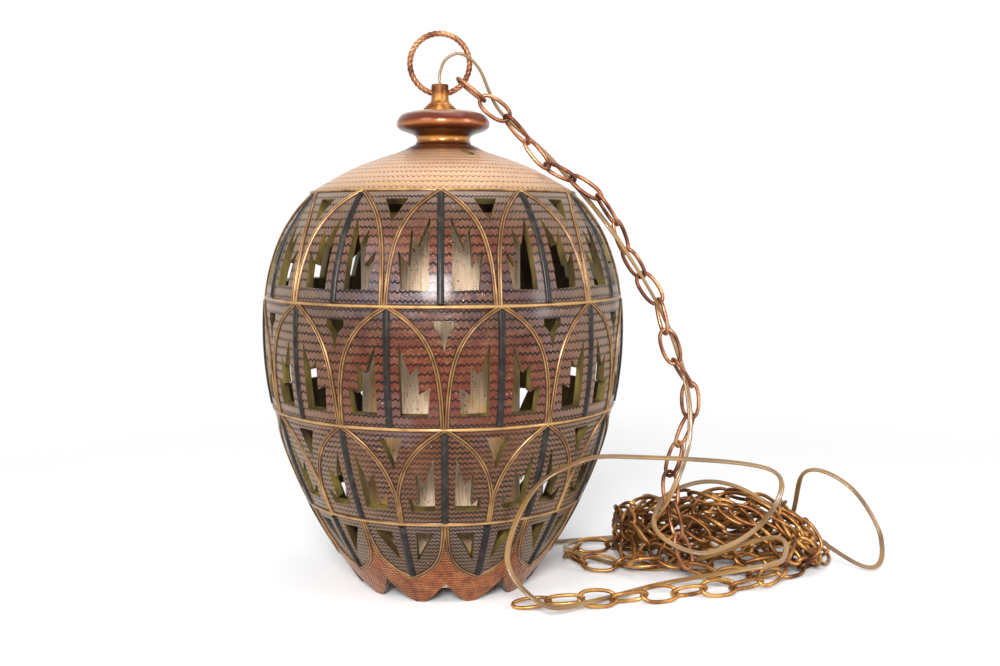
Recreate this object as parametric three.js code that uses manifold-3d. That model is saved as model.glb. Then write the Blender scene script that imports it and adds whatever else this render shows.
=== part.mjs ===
// Swag lamp: a pierced, lustre-glazed ceramic body with a fabric liner, hung by a ring and a
// long link chain that carries a flat twin cord. Here it stands on its scalloped hem, with the
// chain and the cord heaped beside it. Millimetres, +Z up, the front of the lamp towards -Y.
import * as THREE from 'three';
import { mergeVertices } from 'three/addons/utils/BufferGeometryUtils.js';
import Module from 'manifold-3d';

const wasm = await Module();
wasm.setup();

// Ceramic body
const SECTORS = 11; // arches round the body
const SECTOR = 360 / SECTORS; // degrees
const HALF_SECTOR = SECTOR / 2; // from an arch's mullion to the junction beside it
const COLUMNS = 4 * SECTORS; // upright rows of corners round the body
// Outer profile as [height, radius], from the hem to the top of the neck
const BODY_PROFILE = [
  [0, 82], [29, 102], [70, 125.3], [111, 144], [152, 157.5], [199, 167], [248, 169.8],
  [292, 166], [330, 154.3], [356, 139.5], [374, 124.5], [386, 102.5], [398, 81], [408, 57],
  [414, 38], [417, 30], [420, 26.5],
];
const WALL = 7.5;
const HEM_WALL = 5;
const HEM_WALL_HEIGHT = 40; // the wall reaches its full thickness here
const TIER_BASES = [86, 174, 277, 374]; // heights of the four horizontal ribs
const RIB_WIDTH = 4.5;
const RIB_RISE = 1.8;
const DOME_ROWS = [386, 398, 409];
const NECK_TOP = 420;
const CEILING_HEIGHT = 405; // flat seat under the neck, for the washer
const CEILING_RADIUS = 30;
const CAST_HOLE_RADIUS = 8.2; // loose hole through the neck and the finial
const SCALLOP_DEPTH = 23.4;
const SCALLOP_POWER = 1.9;
const FOOT_HALF = 2.8; // degrees of flat foot each side of a scallop's tip
const SCALLOP_STEPS = [5, 8.2, 12.3]; // degrees from the tip
const VENT_RADIUS = 4.5;
const VENT_LENGTH = 15;
const VENT_FROM_AXIS = 50;
const VENT_AZIMUTHS = [28, 148, 268];

// Windows. A leaf with three tips stands on each side of a mullion, as [degrees from the
// mullion, height]. A goblet stands between two arches, as half of its outline in [degrees from
// the junction, height]. mullion and turn are in degrees, steps the corners up a mullion.
const TIERS = [
  {
    mullion: 0,
    turn: 0,
    steps: 3,
    leaf: [[3.5, 99.5], [3.4, 150.5], [6.5, 124.5], [9.4, 134], [9.2, 104.5], [12.8, 113.5], [11.9, 98.5]],
    goblet: [[3.75, 166], [2, 154], [0, 138]],
  },
  {
    mullion: HALF_SECTOR,
    turn: 0,
    steps: 3,
    leaf: [[3.5, 185.5], [3.5, 246], [6.7, 221], [9, 229], [9.1, 204], [12.3, 210], [11.6, 185.7]],
    goblet: [[3.05, 265.5], [3, 260], [1.1, 253.5], [0, 239]],
  },
  {
    mullion: 0,
    turn: -1,
    steps: 3,
    leaf: [[3.4, 290], [3.4, 351], [6.9, 328], [9.3, 341], [9.5, 311], [12.9, 323], [11.4, 291]],
    goblet: [[4.4, 366.5], [2, 356.5], [0, 346]],
  },
];
const HEM_LEAF = [[4.8, 77.5], [12.3, 77.5], [4, 47]];
const HEM_SIDE_STEP = 52;

// Top fittings. They hang on one threaded tube, which stands a little off the middle.
const FIT_GAP = 0.35; // between pieces that touch
const TUBE_X = -3;
const TUBE_RADIUS = 4.8;
const TUBE_CLEARANCE = 0.5;
const TUBE_BORE = 3.4;
const TUBE_BOTTOM = 342;
const TUBE_TOP = 459.5;
// Finial as [radius, height above its seat]: a bead, then a wide disc
const FINIAL_PROFILE = [
  [23, 0], [25.2, 2.2], [25.4, 6.4], [23, 8.8], [27, 9.8], [37, 12.2], [43, 15.2],
  [44, 18.5], [43, 22.5], [38.5, 27.6], [30, 30.2],
];
// Nozzle as [radius, height above the finial]
const NOZZLE_PROFILE = [
  [17, 0], [17, 1.6], [15, 2.2], [14.6, 3.8], [12.4, 4.6], [11.8, 6.4], [9.4, 8.2], [8.2, 11],
  [8.2, 24.2], [7.4, 25.4],
];
const NOZZLE_BORE = 6.4;
const NOZZLE_BORE_DEPTH = 15.8;
const RING_RADIUS = 28.2; // middle of the wire
const RING_WIRE = 3.1;
const RING_LOBE = 0.3; // how far the strands stand above the grooves between them
const RING_TWISTS = 8;
const RING_STRANDS = 3;
const RING_Y = 1.9; // the ring passes behind the cord in the nozzle
const RING_SLACK = 1.1; // between the ring's wire and the first link's
const RING_RISE = 17.1; // lowest point of the wire's middle above the finial
const CROSS_HOLE_RADIUS = 4.4;
const CROSS_HOLE_RISE = 0.7; // above the lowest point of the wire's middle
const NUT_RADIUS = 9; // over the corners
const NUT_HEIGHT = 4;
const WASHER_RADIUS = 16;
const WASHER_THICKNESS = 1.5;

// Liner
const LINER_RADIUS = 76.2;
const LINER_WALL = 1.2;
const LINER_TOP = 355;
const LINER_BOTTOM = 12;
const LINER_WIRE = 1.6;
const LINER_SIDES = 28;
const WIRE_FROM_EDGE = 2.4; // middle of a rim wire from the fabric's edge
const SPIDER_ARMS = 3;
const SPIDER_ARM_WIDTH = 4;
const SPIDER_HUB_RADIUS = 12;
const SPIDER_THICKNESS = 2;

// Socket and bulb, sized outwards from the bulb's base
const BULB_BASE_RADIUS = 13.1;
const BULB_BASE_LENGTH = 24;
const BULB_TIP_RADIUS = 5;
const BULB_TIP_HEIGHT = 3;
const BULB_THREADS = 3;
const BULB_THREAD_DEPTH = 0.7;
const BULB_WALL = 1;
// Glass as [radius, depth below the base]
const BULB_PROFILE = [
  [12.4, 0], [13.4, 8], [17, 21], [23.5, 36], [28.5, 50], [30, 62], [28, 73], [21.5, 82.5],
  [11, 88],
];
const SCREW_SHELL_WALL = 0.5;
const SCREW_SHELL_LENGTH = 27;
const INSULATOR_WALL = 0.9;
const INSULATOR_LENGTH = 43;
const SOCKET_WALL = 0.8;
const SOCKET_SHELL_LENGTH = 44;
const SOCKET_CAP_HEIGHT = 20;
const SOCKET_CAP_SKIRT = 8; // straight part, which takes the shell
const SOCKET_CORE_HEIGHT = 12;
const SOCKET_SIDES = 12;

// Chain
const LINK_LENGTH = 38;
const LINK_WIDTH = 20;
const LINK_WIRE = 3.7;
const WIRE_SIDES = 5;
const LINK_PITCH = 29.95;
const HEAP_PITCH = 31.7; // the heap's links are pulled tight and joined where they touch
const JOIN_STEP = 1.3; // slack where a run of separate links meets the heap
// A quarter of a link's outline, in shares of half its length and half its width
const LINK_CORNERS = [[1, 0.3], [0.84, 0.82], [0, 1]];
const HEAP_CORNERS = [[1, 0.36], [0.66, 1]];

// Cord: flat twin lead
const CORD_WIDTH = 5.2;
const CORD_THICKNESS = 2.6;
const CORD_GAP = 0.3; // between the ends of its runs
const COIL_TURNS = 5;
const COIL_INNER_RADIUS = 22;
const COIL_SPACING = 5.9; // between turns side by side
const COIL_LAYER = 3.1; // between layers
const COIL_STEPS = 16; // in a turn
const COIL_LEAD_IN = 8;
const COIL_LEAD_OUT = 28;
const PLUG_LENGTH = 24;
const PLUG_WIDTH = 20;
const PLUG_NECK = 9;
const PLUG_TAPER = 9;
const PLUG_BEVEL = 1;
const PLUG_THICKNESS = 11;
const BLADE_LENGTH = 16.5;
const BLADE_WIDTH = 6.3;
const BLADE_THICKNESS = 1.5;
const BLADE_SPACING = 12.7;

const paint = (color, roughness, metalness) =>
  new THREE.MeshStandardMaterial({ color, roughness, metalness });
const lustreGlaze = paint(0x7a4a3a, 0.3, 0.4);
const copperGlaze = paint(0x8a3a22, 0.2, 0.5);
const brass = paint(0xb8853f, 0.35, 1);
const agedCopper = paint(0x8c5238, 0.4, 1);
const zincSteel = paint(0x9a9a96, 0.45, 1);
const linerFabric = paint(0xd8c39a, 0.95, 0);
const fibreboard = paint(0x6b4a33, 0.9, 0);
const phenolic = paint(0x2a211c, 0.5, 0);
const frostedGlass = paint(0xf2f0ea, 0.4, 0);
const cordVinyl = paint(0xa8813f, 0.35, 0);
const plugVinyl = paint(0x8f6d33, 0.4, 0);

const swagLamp = new THREE.Group();
const fittings = new THREE.Group(); // everything on the threaded tube
fittings.position.x = TUBE_X;
swagLamp.add(fittings);

function piece(group, name, geometry, material) {
  const mesh = new THREE.Mesh(geometry, material);
  mesh.name = name;
  group.add(mesh);
  return mesh;
}

// Closed mesh to solid, and back
function solid(geometry) {
  const bare = geometry.clone();
  bare.deleteAttribute('normal');
  bare.deleteAttribute('uv');
  const merged = mergeVertices(bare, 1e-4);
  return new wasm.Manifold(new wasm.Mesh({
    numProp: 3,
    vertProperties: new Float32Array(merged.attributes.position.array),
    triVerts: new Uint32Array(merged.index.array),
  }));
}

function geometryOf(manifold) {
  const mesh = manifold.getMesh();
  const geometry = new THREE.BufferGeometry();
  geometry.setAttribute('position', new THREE.BufferAttribute(mesh.vertProperties, 3));
  geometry.setIndex(new THREE.BufferAttribute(mesh.triVerts, 1));
  return geometry;
}

function indexed(positions, faces) {
  const geometry = new THREE.BufferGeometry();
  geometry.setAttribute('position', new THREE.Float32BufferAttribute(positions, 3));
  geometry.setIndex(faces);
  return geometry;
}

// A turned piece. The outline is [radius, height], from its foot up the outside. It closes on
// itself, or starts and ends on the axis.
function turned(outline, sides) {
  const points = outline.map(([r, z]) => new THREE.Vector2(r, z));
  if (outline[0][0] > 0) points.push(points[0].clone());
  return new THREE.LatheGeometry(points, sides).rotateX(Math.PI / 2);
}

// A turned piece with a bore right through
function bored(outside, bore, sides) {
  const low = outside[0][1];
  const high = outside[outside.length - 1][1];
  return turned([...outside, [bore, high], [bore, low]], sides);
}

const sleeve = (outer, inner, low, high, sides) =>
  bored([[outer, low], [outer, high]], inner, sides);

// Carries a section along a row of centres. axes(i) gives the section's two directions there,
// and their cross product points along the row.
function swept(centres, axes, section, closed = false) {
  const sides = section(0).length;
  const positions = [];
  centres.forEach((centre, i) => {
    const [across, through] = axes(i);
    for (const [a, b] of section(i)) {
      positions.push(...centre.clone().addScaledVector(across, a).addScaledVector(through, b));
    }
  });
  const faces = [];
  const spans = closed ? centres.length : centres.length - 1;
  for (let i = 0; i < spans; i += 1) {
    const here = i * sides;
    const next = ((i + 1) % centres.length) * sides;
    for (let j = 0; j < sides; j += 1) {
      const k = (j + 1) % sides;
      faces.push(here + j, here + k, next + k, here + j, next + k, next + j);
    }
  }
  if (!closed) {
    const last = (centres.length - 1) * sides;
    for (let j = 1; j < sides - 1; j += 1) {
      faces.push(0, j + 1, j, last, last + j, last + j + 1);
    }
  }
  return indexed(positions, faces);
}

// Corners of an oval section with as many sides
function oval(halfWidth, halfThickness, sides) {
  return Array.from({ length: sides }, (_, j) => {
    const angle = (2 * Math.PI * (j + 0.5)) / sides;
    return [halfWidth * Math.cos(angle), halfThickness * Math.sin(angle)];
  });
}

// Cubic curve through [x, y] pairs, each slope taken from the neighbours on both sides
function cubicThrough(pairs, x) {
  let i = 0;
  while (i < pairs.length - 2 && x > pairs[i + 1][0]) i += 1;
  const slope = (k) => {
    const before = pairs[Math.max(k - 1, 0)];
    const after = pairs[Math.min(k + 1, pairs.length - 1)];
    return (after[1] - before[1]) / (after[0] - before[0]);
  };
  const [[x0, y0], [x1, y1]] = [pairs[i], pairs[i + 1]];
  const step = x1 - x0;
  const t = (x - x0) / step;
  const [t2, t3] = [t * t, t * t * t];
  return y0 * (2 * t3 - 3 * t2 + 1) + slope(i) * step * (t3 - 2 * t2 + t)
    + y1 * (3 * t2 - 2 * t3) + slope(i + 1) * step * (t3 - t2);
}

const bodyRadius = (z) => cubicThrough(BODY_PROFILE, z);

// A corner of the wall at an azimuth from the front, on its glazed or its inner side. The inner
// side lies level with the outer one at the hem, and square to it higher up.
function wallPoint(azimuth, height, inner, rise) {
  const probe = 0.5;
  const slope = (bodyRadius(height + probe) - bodyRadius(height - probe)) / (2 * probe);
  const lean = THREE.MathUtils.smoothstep(height, 0, HEM_WALL_HEIGHT);
  const normal = new THREE.Vector2(1, -slope * lean).normalize();
  const thickness = THREE.MathUtils.lerp(HEM_WALL, WALL, Math.min(height / HEM_WALL_HEIGHT, 1));
  const offset = inner ? -thickness : rise;
  const r = bodyRadius(height) + offset * normal.x;
  const angle = THREE.MathUtils.degToRad(azimuth);
  return [r * Math.sin(angle), -r * Math.cos(angle), height + offset * normal.y];
}

// Swaps the shared edge of two triangles wherever that makes them less thin, so that the
// triangles of a wall with windows stay compact. points are [x, y], triangles anticlockwise.
function compacted(points, triangles) {
  const turn = (a, b, c) => (points[b][0] - points[a][0]) * (points[c][1] - points[a][1])
    - (points[c][0] - points[a][0]) * (points[b][1] - points[a][1]);
  const inCircle = (a, b, c, d) => {
    const [[ax, ay], [bx, by], [cx, cy]] = [a, b, c].map((p) =>
      [points[p][0] - points[d][0], points[p][1] - points[d][1]]);
    return (ax * ax + ay * ay) * (bx * cy - cx * by) - (bx * bx + by * by) * (ax * cy - cx * ay)
      + (cx * cx + cy * cy) * (ax * by - bx * ay) > 1e-6;
  };
  let swapped = true;
  while (swapped) {
    swapped = false;
    const owner = new Map();
    triangles.forEach((t, index) => {
      t.forEach((a, k) => owner.set(`${a},${t[(k + 1) % 3]}`, [index, t[(k + 2) % 3]]));
    });
    for (const [edge, [index, apex]] of owner) {
      const [a, b] = edge.split(',').map(Number);
      const across = owner.get(`${b},${a}`);
      if (a < b && across && turn(apex, a, across[1]) > 1e-6 && turn(across[1], b, apex) > 1e-6
        && inCircle(a, b, apex, across[1])) {
        triangles[index] = [apex, a, across[1]];
        triangles[across[0]] = [across[1], b, apex];
        swapped = true;
        break;
      }
    }
  }
  return triangles;
}

// The wall is worked out on the unrolled body. Both faces of the wall and the cut edges between
// them share their corners, which are kept by azimuth, height, side and rise.
class Wall {
  constructor() {
    this.corners = new Map();
    this.positions = [];
    this.faces = [];
  }

  add(point) {
    this.positions.push(...point);
    return this.positions.length / 3 - 1;
  }

  corner([azimuth, edge], inner = false, rise = 0) {
    const rib = TIER_BASES.find((base) => Math.abs(edge - base) <= RIB_WIDTH / 2);
    const height = inner && rib ? rib : edge; // the inside has no ribs
    const turn = THREE.MathUtils.euclideanModulo(Math.round(azimuth * 100), 36000);
    const key = `${turn},${Math.round(height * 100)},${inner},${rise}`;
    if (!this.corners.has(key)) {
      this.corners.set(key, this.add(wallPoint(azimuth, height, inner, rise)));
    }
    return this.corners.get(key);
  }

  // A row of corners right round the body, and one at a radius and height of its own
  row(height, inner = false, rise = 0) {
    return Array.from({ length: COLUMNS }, (_, c) =>
      this.corner([(c * 360) / COLUMNS, height], inner, rise));
  }

  hoop(radius, height) {
    return Array.from({ length: COLUMNS }, (_, c) => {
      const angle = (c * 2 * Math.PI) / COLUMNS;
      return this.add([radius * Math.sin(angle), -radius * Math.cos(angle), height]);
    });
  }

  // Joins each row to the next, facing outwards when the rows run from the hem up
  skin(rows) {
    for (let i = 0; i < rows.length - 1; i += 1) {
      for (let c = 0; c < COLUMNS; c += 1) {
        const d = (c + 1) % COLUMNS;
        const [low, high] = [rows[i], rows[i + 1]];
        this.faces.push(low[c], low[d], high[d], low[c], high[d], high[c]);
      }
    }
  }

  // A piece of wall round `middle`, with holes. The outline runs anticlockwise from outside.
  patch(middle, outline, holes) {
    const corners = [...outline, ...holes.flat()];
    const unroll = ([azimuth, height]) =>
      [bodyRadius(height) * THREE.MathUtils.degToRad(azimuth - middle), height];
    const heights = outline.map(([, height]) => height);
    const [low, high] = [Math.min(...heights), Math.max(...heights)];
    // A level edge bulges by a hair, so that none of its corners counts as lying on a straight line
    const bulge = 0.02;
    const bulged = outline.map((corner) => {
      const [x, y] = unroll(corner);
      const side = { [low]: -1, [high]: 1 }[corner[1]] ?? 0;
      return [x, y + side * bulge * Math.cos(x / bodyRadius(high))];
    });
    const cuts = holes.map((hole) => hole.map(unroll));
    const points = [...bulged, ...cuts.flat()];
    const vectors = (list) => list.map(([x, y]) => new THREE.Vector2(x, y));
    const found = THREE.ShapeUtils.triangulateShape(vectors(bulged), cuts.map(vectors));
    const triangles = found.map(([a, b, c]) => {
      const [[ax, ay], [bx, by], [cx, cy]] = [points[a], points[b], points[c]];
      return (bx - ax) * (cy - ay) - (cx - ax) * (by - ay) > 0 ? [a, b, c] : [a, c, b];
    });
    for (const triangle of compacted(points, triangles)) {
      const [a, b, c] = triangle.map((k) => this.corner(corners[k]));
      const [d, e, f] = triangle.map((k) => this.corner(corners[k], true));
      this.faces.push(a, b, c, d, f, e);
    }
    holes.forEach((hole) => this.edge([...hole, hole[0]]));
  }

  // Closes the wall along a cut edge, with the wall on the left of the path from outside
  edge(path) {
    for (let i = 0; i < path.length - 1; i += 1) {
      const [a, b] = [path[i], path[i + 1]].map((corner) => this.corner(corner));
      const [c, d] = [path[i], path[i + 1]].map((corner) => this.corner(corner, true));
      this.faces.push(a, c, d, a, d, b);
    }
  }
}

function clockwise(points) {
  return THREE.ShapeUtils.isClockWise(points.map(([x, y]) => new THREE.Vector2(x, y)))
    ? points : [...points].reverse();
}

// An outline set at an azimuth, as it is or mirrored
const setAt = (points, azimuth, hand = 1) =>
  clockwise(points.map(([a, height]) => [azimuth + hand * a, height]));

const bothHalves = (half) =>
  [...half, ...half.filter(([a]) => a > 0).map(([a, height]) => [-a, height]).reverse()];

// Corners at equal steps between two heights
const climb = (low, high, steps) =>
  Array.from({ length: steps - 1 }, (_, i) => low + ((high - low) * (i + 1)) / steps);

// The corners of a level edge across one sector, from left to right
function levelEdge(middle, height) {
  const perSector = COLUMNS / SECTORS;
  return Array.from({ length: perSector + 1 }, (_, i) =>
    [middle - HALF_SECTOR + (i * SECTOR) / perSector, height]);
}

function sectorOutline(middle, lowEdge, high, sideHeights) {
  const right = sideHeights.map((height) => [middle + HALF_SECTOR, height]);
  const left = sideHeights.map((height) => [middle - HALF_SECTOR, height]);
  return [...lowEdge, ...right, ...levelEdge(middle, high).reverse(), ...left.reverse()];
}

function tierWindows(wall, tier, low, high) {
  for (let k = 0; k < SECTORS; k += 1) {
    const junction = k * SECTOR + tier.mullion + HALF_SECTOR;
    const holes = [
      setAt(tier.leaf, junction - HALF_SECTOR + tier.turn),
      setAt(bothHalves(tier.goblet), junction + tier.turn),
      setAt(tier.leaf, junction + HALF_SECTOR + tier.turn, -1),
    ];
    const sides = climb(low, high, tier.steps);
    wall.patch(junction, sectorOutline(junction, levelEdge(junction, low), high, sides), holes);
  }
}

// One scallop hangs under each mullion of the hem, which lie as those of the middle tier do
function hemScallops(wall, high) {
  const drop = (a) => SCALLOP_DEPTH * (a / HALF_SECTOR) ** SCALLOP_POWER;
  const half = [
    [FOOT_HALF, 0], ...SCALLOP_STEPS.map((a) => [a, drop(a)]), [HALF_SECTOR, SCALLOP_DEPTH],
  ];
  for (let k = 0; k < SECTORS; k += 1) {
    const mullion = k * SECTOR + HALF_SECTOR;
    const tip = [
      ...half.map(([a, height]) => [mullion - a, height]).reverse(),
      ...half.map(([a, height]) => [mullion + a, height]),
    ];
    const holes = [setAt(HEM_LEAF, mullion), setAt(HEM_LEAF, mullion, -1)];
    wall.patch(mullion, sectorOutline(mullion, tip, high, [HEM_SIDE_STEP]), holes);
    wall.edge(tip);
  }
}

function ceramicShell() {
  const wall = new Wall();
  const half = RIB_WIDTH / 2;
  hemScallops(wall, TIER_BASES[0] - half);
  TIERS.forEach((tier, i) => {
    tierWindows(wall, tier, TIER_BASES[i] + half, TIER_BASES[i + 1] - half);
  });
  for (const base of TIER_BASES) {
    wall.skin([wall.row(base - half), wall.row(base, false, RIB_RISE), wall.row(base + half)]);
  }
  const rim = TIER_BASES[TIER_BASES.length - 1] + half;
  const seat = wall.hoop(CAST_HOLE_RADIUS, CEILING_HEIGHT);
  const inside = DOME_ROWS.slice(0, -1).map((height) => wall.row(height, true));
  wall.skin([
    ...[rim, ...DOME_ROWS, NECK_TOP].map((height) => wall.row(height)),
    wall.hoop(CAST_HOLE_RADIUS, NECK_TOP), seat,
    wall.hoop(CEILING_RADIUS, CEILING_HEIGHT), ...inside.reverse(), wall.row(rim, true),
  ]);
  let shell = solid(indexed(wall.positions, wall.faces));
  for (const azimuth of VENT_AZIMUTHS) {
    const vent = new THREE.CylinderGeometry(VENT_RADIUS, VENT_RADIUS, 2 * VENT_FROM_AXIS, 10);
    vent.rotateX(Math.PI / 2);
    vent.scale(1, VENT_LENGTH / 2 / VENT_RADIUS, 1);
    vent.translate(0, -VENT_FROM_AXIS, CEILING_HEIGHT);
    vent.rotateZ(THREE.MathUtils.degToRad(azimuth));
    shell = shell.subtract(solid(vent));
  }
  return geometryOf(shell);
}

piece(swagLamp, 'ceramic_shell', ceramicShell(), lustreGlaze);

// Finial and nozzle, one on the other, each a clearance above its seat
const finialSeat = NECK_TOP + FIT_GAP;
const finialHeight = FINIAL_PROFILE[FINIAL_PROFILE.length - 1][1];
const raised = (profile, seat) => profile.map(([r, z]) => [r, seat + z]);
piece(swagLamp, 'finial_spool',
  bored(raised(FINIAL_PROFILE, finialSeat), CAST_HOLE_RADIUS, 18), copperGlaze);

const nozzleSeat = finialSeat + finialHeight + FIT_GAP;
const nozzleTop = nozzleSeat + NOZZLE_PROFILE[NOZZLE_PROFILE.length - 1][1];
const ringCentre = new THREE.Vector3(0, RING_Y, finialSeat + finialHeight + RING_RISE + RING_RADIUS);
const crossHoleHeight = ringCentre.z - RING_RADIUS + CROSS_HOLE_RISE;

function nozzle() {
  const step = nozzleTop - NOZZLE_BORE_DEPTH;
  const body = turned([
    ...raised(NOZZLE_PROFILE, nozzleSeat), [NOZZLE_BORE, nozzleTop], [NOZZLE_BORE, step],
    [TUBE_RADIUS + TUBE_CLEARANCE, step], [TUBE_RADIUS + TUBE_CLEARANCE, nozzleSeat],
  ], 14);
  const drill = new THREE.CylinderGeometry(
    CROSS_HOLE_RADIUS, CROSS_HOLE_RADIUS, 4 * NOZZLE_BORE, 12);
  drill.rotateZ(Math.PI / 2).translate(0, RING_Y, crossHoleHeight);
  return geometryOf(solid(body).subtract(solid(drill)));
}
piece(fittings, 'nozzle', nozzle(), brass);

// Ring of three strands laid round each other, drawn as one lobed rod that twists
function hangingRing() {
  const steps = 5 * RING_TWISTS;
  const sides = 2 * RING_STRANDS;
  const angles = Array.from({ length: steps }, (_, i) => (2 * Math.PI * i) / steps);
  const centres = angles.map((angle) => new THREE.Vector3(
    RING_RADIUS * Math.sin(angle), 0, RING_RADIUS * Math.cos(angle)).add(ringCentre));
  const axes = (i) => [
    new THREE.Vector3(Math.sin(angles[i]), 0, Math.cos(angles[i])), new THREE.Vector3(0, -1, 0),
  ];
  const section = (i) => Array.from({ length: sides }, (_, j) => {
    const angle = (2 * Math.PI * j) / sides + (RING_TWISTS * angles[i]);
    const r = j % 2 === 0 ? RING_WIRE : RING_WIRE - 2 * RING_LOBE;
    return [r * Math.cos(angle), r * Math.sin(angle)];
  });
  return swept(centres, axes, section, true);
}
piece(fittings, 'hanging_ring', hangingRing(), agedCopper);

function hexNut(low) {
  const corners = Array.from({ length: 6 }, (_, j) => new THREE.Vector2(
    NUT_RADIUS * Math.cos((j * Math.PI) / 3), NUT_RADIUS * Math.sin((j * Math.PI) / 3)));
  const outline = new THREE.Shape(corners);
  const bore = new THREE.Path().absarc(0, 0, TUBE_RADIUS + TUBE_CLEARANCE, 0, 2 * Math.PI, true);
  outline.holes.push(bore);
  return new THREE.ExtrudeGeometry(outline, {
    depth: NUT_HEIGHT, bevelEnabled: false, curveSegments: 12,
  }).translate(0, 0, low);
}

piece(fittings, 'threaded_tube',
  sleeve(TUBE_RADIUS, TUBE_BORE, TUBE_BOTTOM, TUBE_TOP, 12), brass);
const washerLow = CEILING_HEIGHT - FIT_GAP - WASHER_THICKNESS;
piece(fittings, 'washer_inner',
  sleeve(WASHER_RADIUS, TUBE_RADIUS + TUBE_CLEARANCE, washerLow, CEILING_HEIGHT - FIT_GAP, 12), zincSteel);
piece(fittings, 'lock_nut', hexNut(washerLow - FIT_GAP - NUT_HEIGHT), zincSteel);

// Liner: a fabric cylinder between two wire rims, the upper one carried by a spider
const rimRadius = LINER_RADIUS - LINER_WALL - FIT_GAP - LINER_WIRE;
const rimWire = (height) =>
  new THREE.TorusGeometry(rimRadius, LINER_WIRE, 4, LINER_SIDES).translate(0, 0, height);
const spiderHeight = LINER_TOP - WIRE_FROM_EDGE;

function linerTopRing() {
  let frame = solid(rimWire(spiderHeight));
  frame = frame.add(solid(sleeve(SPIDER_HUB_RADIUS, TUBE_RADIUS + TUBE_CLEARANCE,
    spiderHeight - SPIDER_THICKNESS / 2, spiderHeight + SPIDER_THICKNESS / 2, 12)));
  const start = (TUBE_RADIUS + TUBE_CLEARANCE + SPIDER_HUB_RADIUS) / 2;
  const reach = rimRadius - start;
  for (let k = 0; k < SPIDER_ARMS; k += 1) {
    const arm = new THREE.BoxGeometry(reach, SPIDER_ARM_WIDTH, SPIDER_THICKNESS);
    arm.translate(start + reach / 2, 0, spiderHeight);
    arm.rotateZ(((k + 0.25) * 2 * Math.PI) / SPIDER_ARMS);
    frame = frame.add(solid(arm));
  }
  return geometryOf(frame);
}
piece(fittings, 'liner_top_ring', linerTopRing(), zincSteel);
piece(fittings, 'liner_bottom_ring', rimWire(LINER_BOTTOM + WIRE_FROM_EDGE), zincSteel);
piece(fittings, 'liner',
  sleeve(LINER_RADIUS, LINER_RADIUS - LINER_WALL, LINER_BOTTOM, LINER_TOP, LINER_SIDES), linerFabric);
const spiderNutLow = spiderHeight - SPIDER_THICKNESS / 2 - FIT_GAP - NUT_HEIGHT;
piece(fittings, 'spider_nut', hexNut(spiderNutLow), zincSteel);

// Socket, from the cap on the tube down to the bulb
const screwBore = BULB_BASE_RADIUS / Math.cos(Math.PI / SOCKET_SIDES) + FIT_GAP;
const screwOuter = screwBore + SCREW_SHELL_WALL;
const insulatorBore = screwOuter + FIT_GAP;
const insulatorOuter = insulatorBore + INSULATOR_WALL;
const socketBore = insulatorOuter + FIT_GAP;
const socketOuter = socketBore + SOCKET_WALL;
const capBore = socketOuter + FIT_GAP;
const capOuter = capBore + SOCKET_WALL;
const capTop = spiderNutLow - FIT_GAP;
const capBottom = capTop - SOCKET_CAP_HEIGHT;
const capShoulder = capBottom + SOCKET_CAP_SKIRT;
const tubeClear = TUBE_RADIUS + TUBE_CLEARANCE;
piece(fittings, 'socket_cap', turned([
  [capOuter, capBottom], [capOuter, capShoulder], [capOuter * 0.82, capShoulder + 5],
  [tubeClear + 2, capTop - 3], [tubeClear + 2, capTop], [tubeClear, capTop],
  [tubeClear, capTop - 3 - SOCKET_WALL], [capBore * 0.8, capShoulder + 5 - SOCKET_WALL],
  [capBore, capShoulder], [capBore, capBottom],
], SOCKET_SIDES), brass);
const shellTop = capShoulder - FIT_GAP;
piece(fittings, 'socket_shell',
  sleeve(socketOuter, socketBore, shellTop - SOCKET_SHELL_LENGTH, shellTop, SOCKET_SIDES), brass);
piece(fittings, 'socket_insulator',
  sleeve(insulatorOuter, insulatorBore, shellTop - INSULATOR_LENGTH, shellTop, SOCKET_SIDES), fibreboard);
const coreTop = shellTop;
const coreBottom = coreTop - SOCKET_CORE_HEIGHT;
piece(fittings, 'socket_core', turned([
  [0, coreBottom], [screwOuter, coreBottom], [screwOuter, coreTop], [0, coreTop],
], SOCKET_SIDES), phenolic);
const screwTop = coreBottom - FIT_GAP;
piece(fittings, 'socket_screw_shell',
  sleeve(screwOuter, screwBore, screwTop - SCREW_SHELL_LENGTH, screwTop, SOCKET_SIDES), brass);

// Bulb: a threaded base with its contact, and an open-necked glass envelope
const bulbTop = screwTop - FIT_GAP;
const bulbBaseLow = bulbTop - BULB_TIP_HEIGHT - BULB_BASE_LENGTH;
function bulbBase() {
  const pitch = BULB_BASE_LENGTH / (BULB_THREADS + 1.5);
  const root = BULB_BASE_RADIUS - BULB_THREAD_DEPTH;
  const threads = Array.from({ length: BULB_THREADS }, (_, k) => {
    const low = bulbBaseLow + (k + 1) * pitch;
    return [[root, low], [BULB_BASE_RADIUS, low + pitch / 2]];
  }).flat();
  return turned([
    [0, bulbBaseLow], [root, bulbBaseLow], ...threads, [root, bulbTop - BULB_TIP_HEIGHT],
    [BULB_TIP_RADIUS, bulbTop - 0.6], [0, bulbTop],
  ], SOCKET_SIDES);
}
piece(fittings, 'bulb_base', bulbBase(), zincSteel);

function bulbGlass() {
  const top = bulbBaseLow - FIT_GAP;
  const outer = BULB_PROFILE.map(([r, depth]) => [r, top - depth]).reverse();
  const inner = BULB_PROFILE.map(([r, depth]) => [r - BULB_WALL, top - depth]);
  const low = outer[0][1];
  const crown = low - 1.5;
  return turned([
    [0, crown], ...outer, ...inner.slice(0, -1), [inner[inner.length - 1][0], low + BULB_WALL],
    [0, crown + BULB_WALL],
  ], SOCKET_SIDES);
}
piece(fittings, 'bulb_glass', bulbGlass(), frostedGlass);

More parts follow.
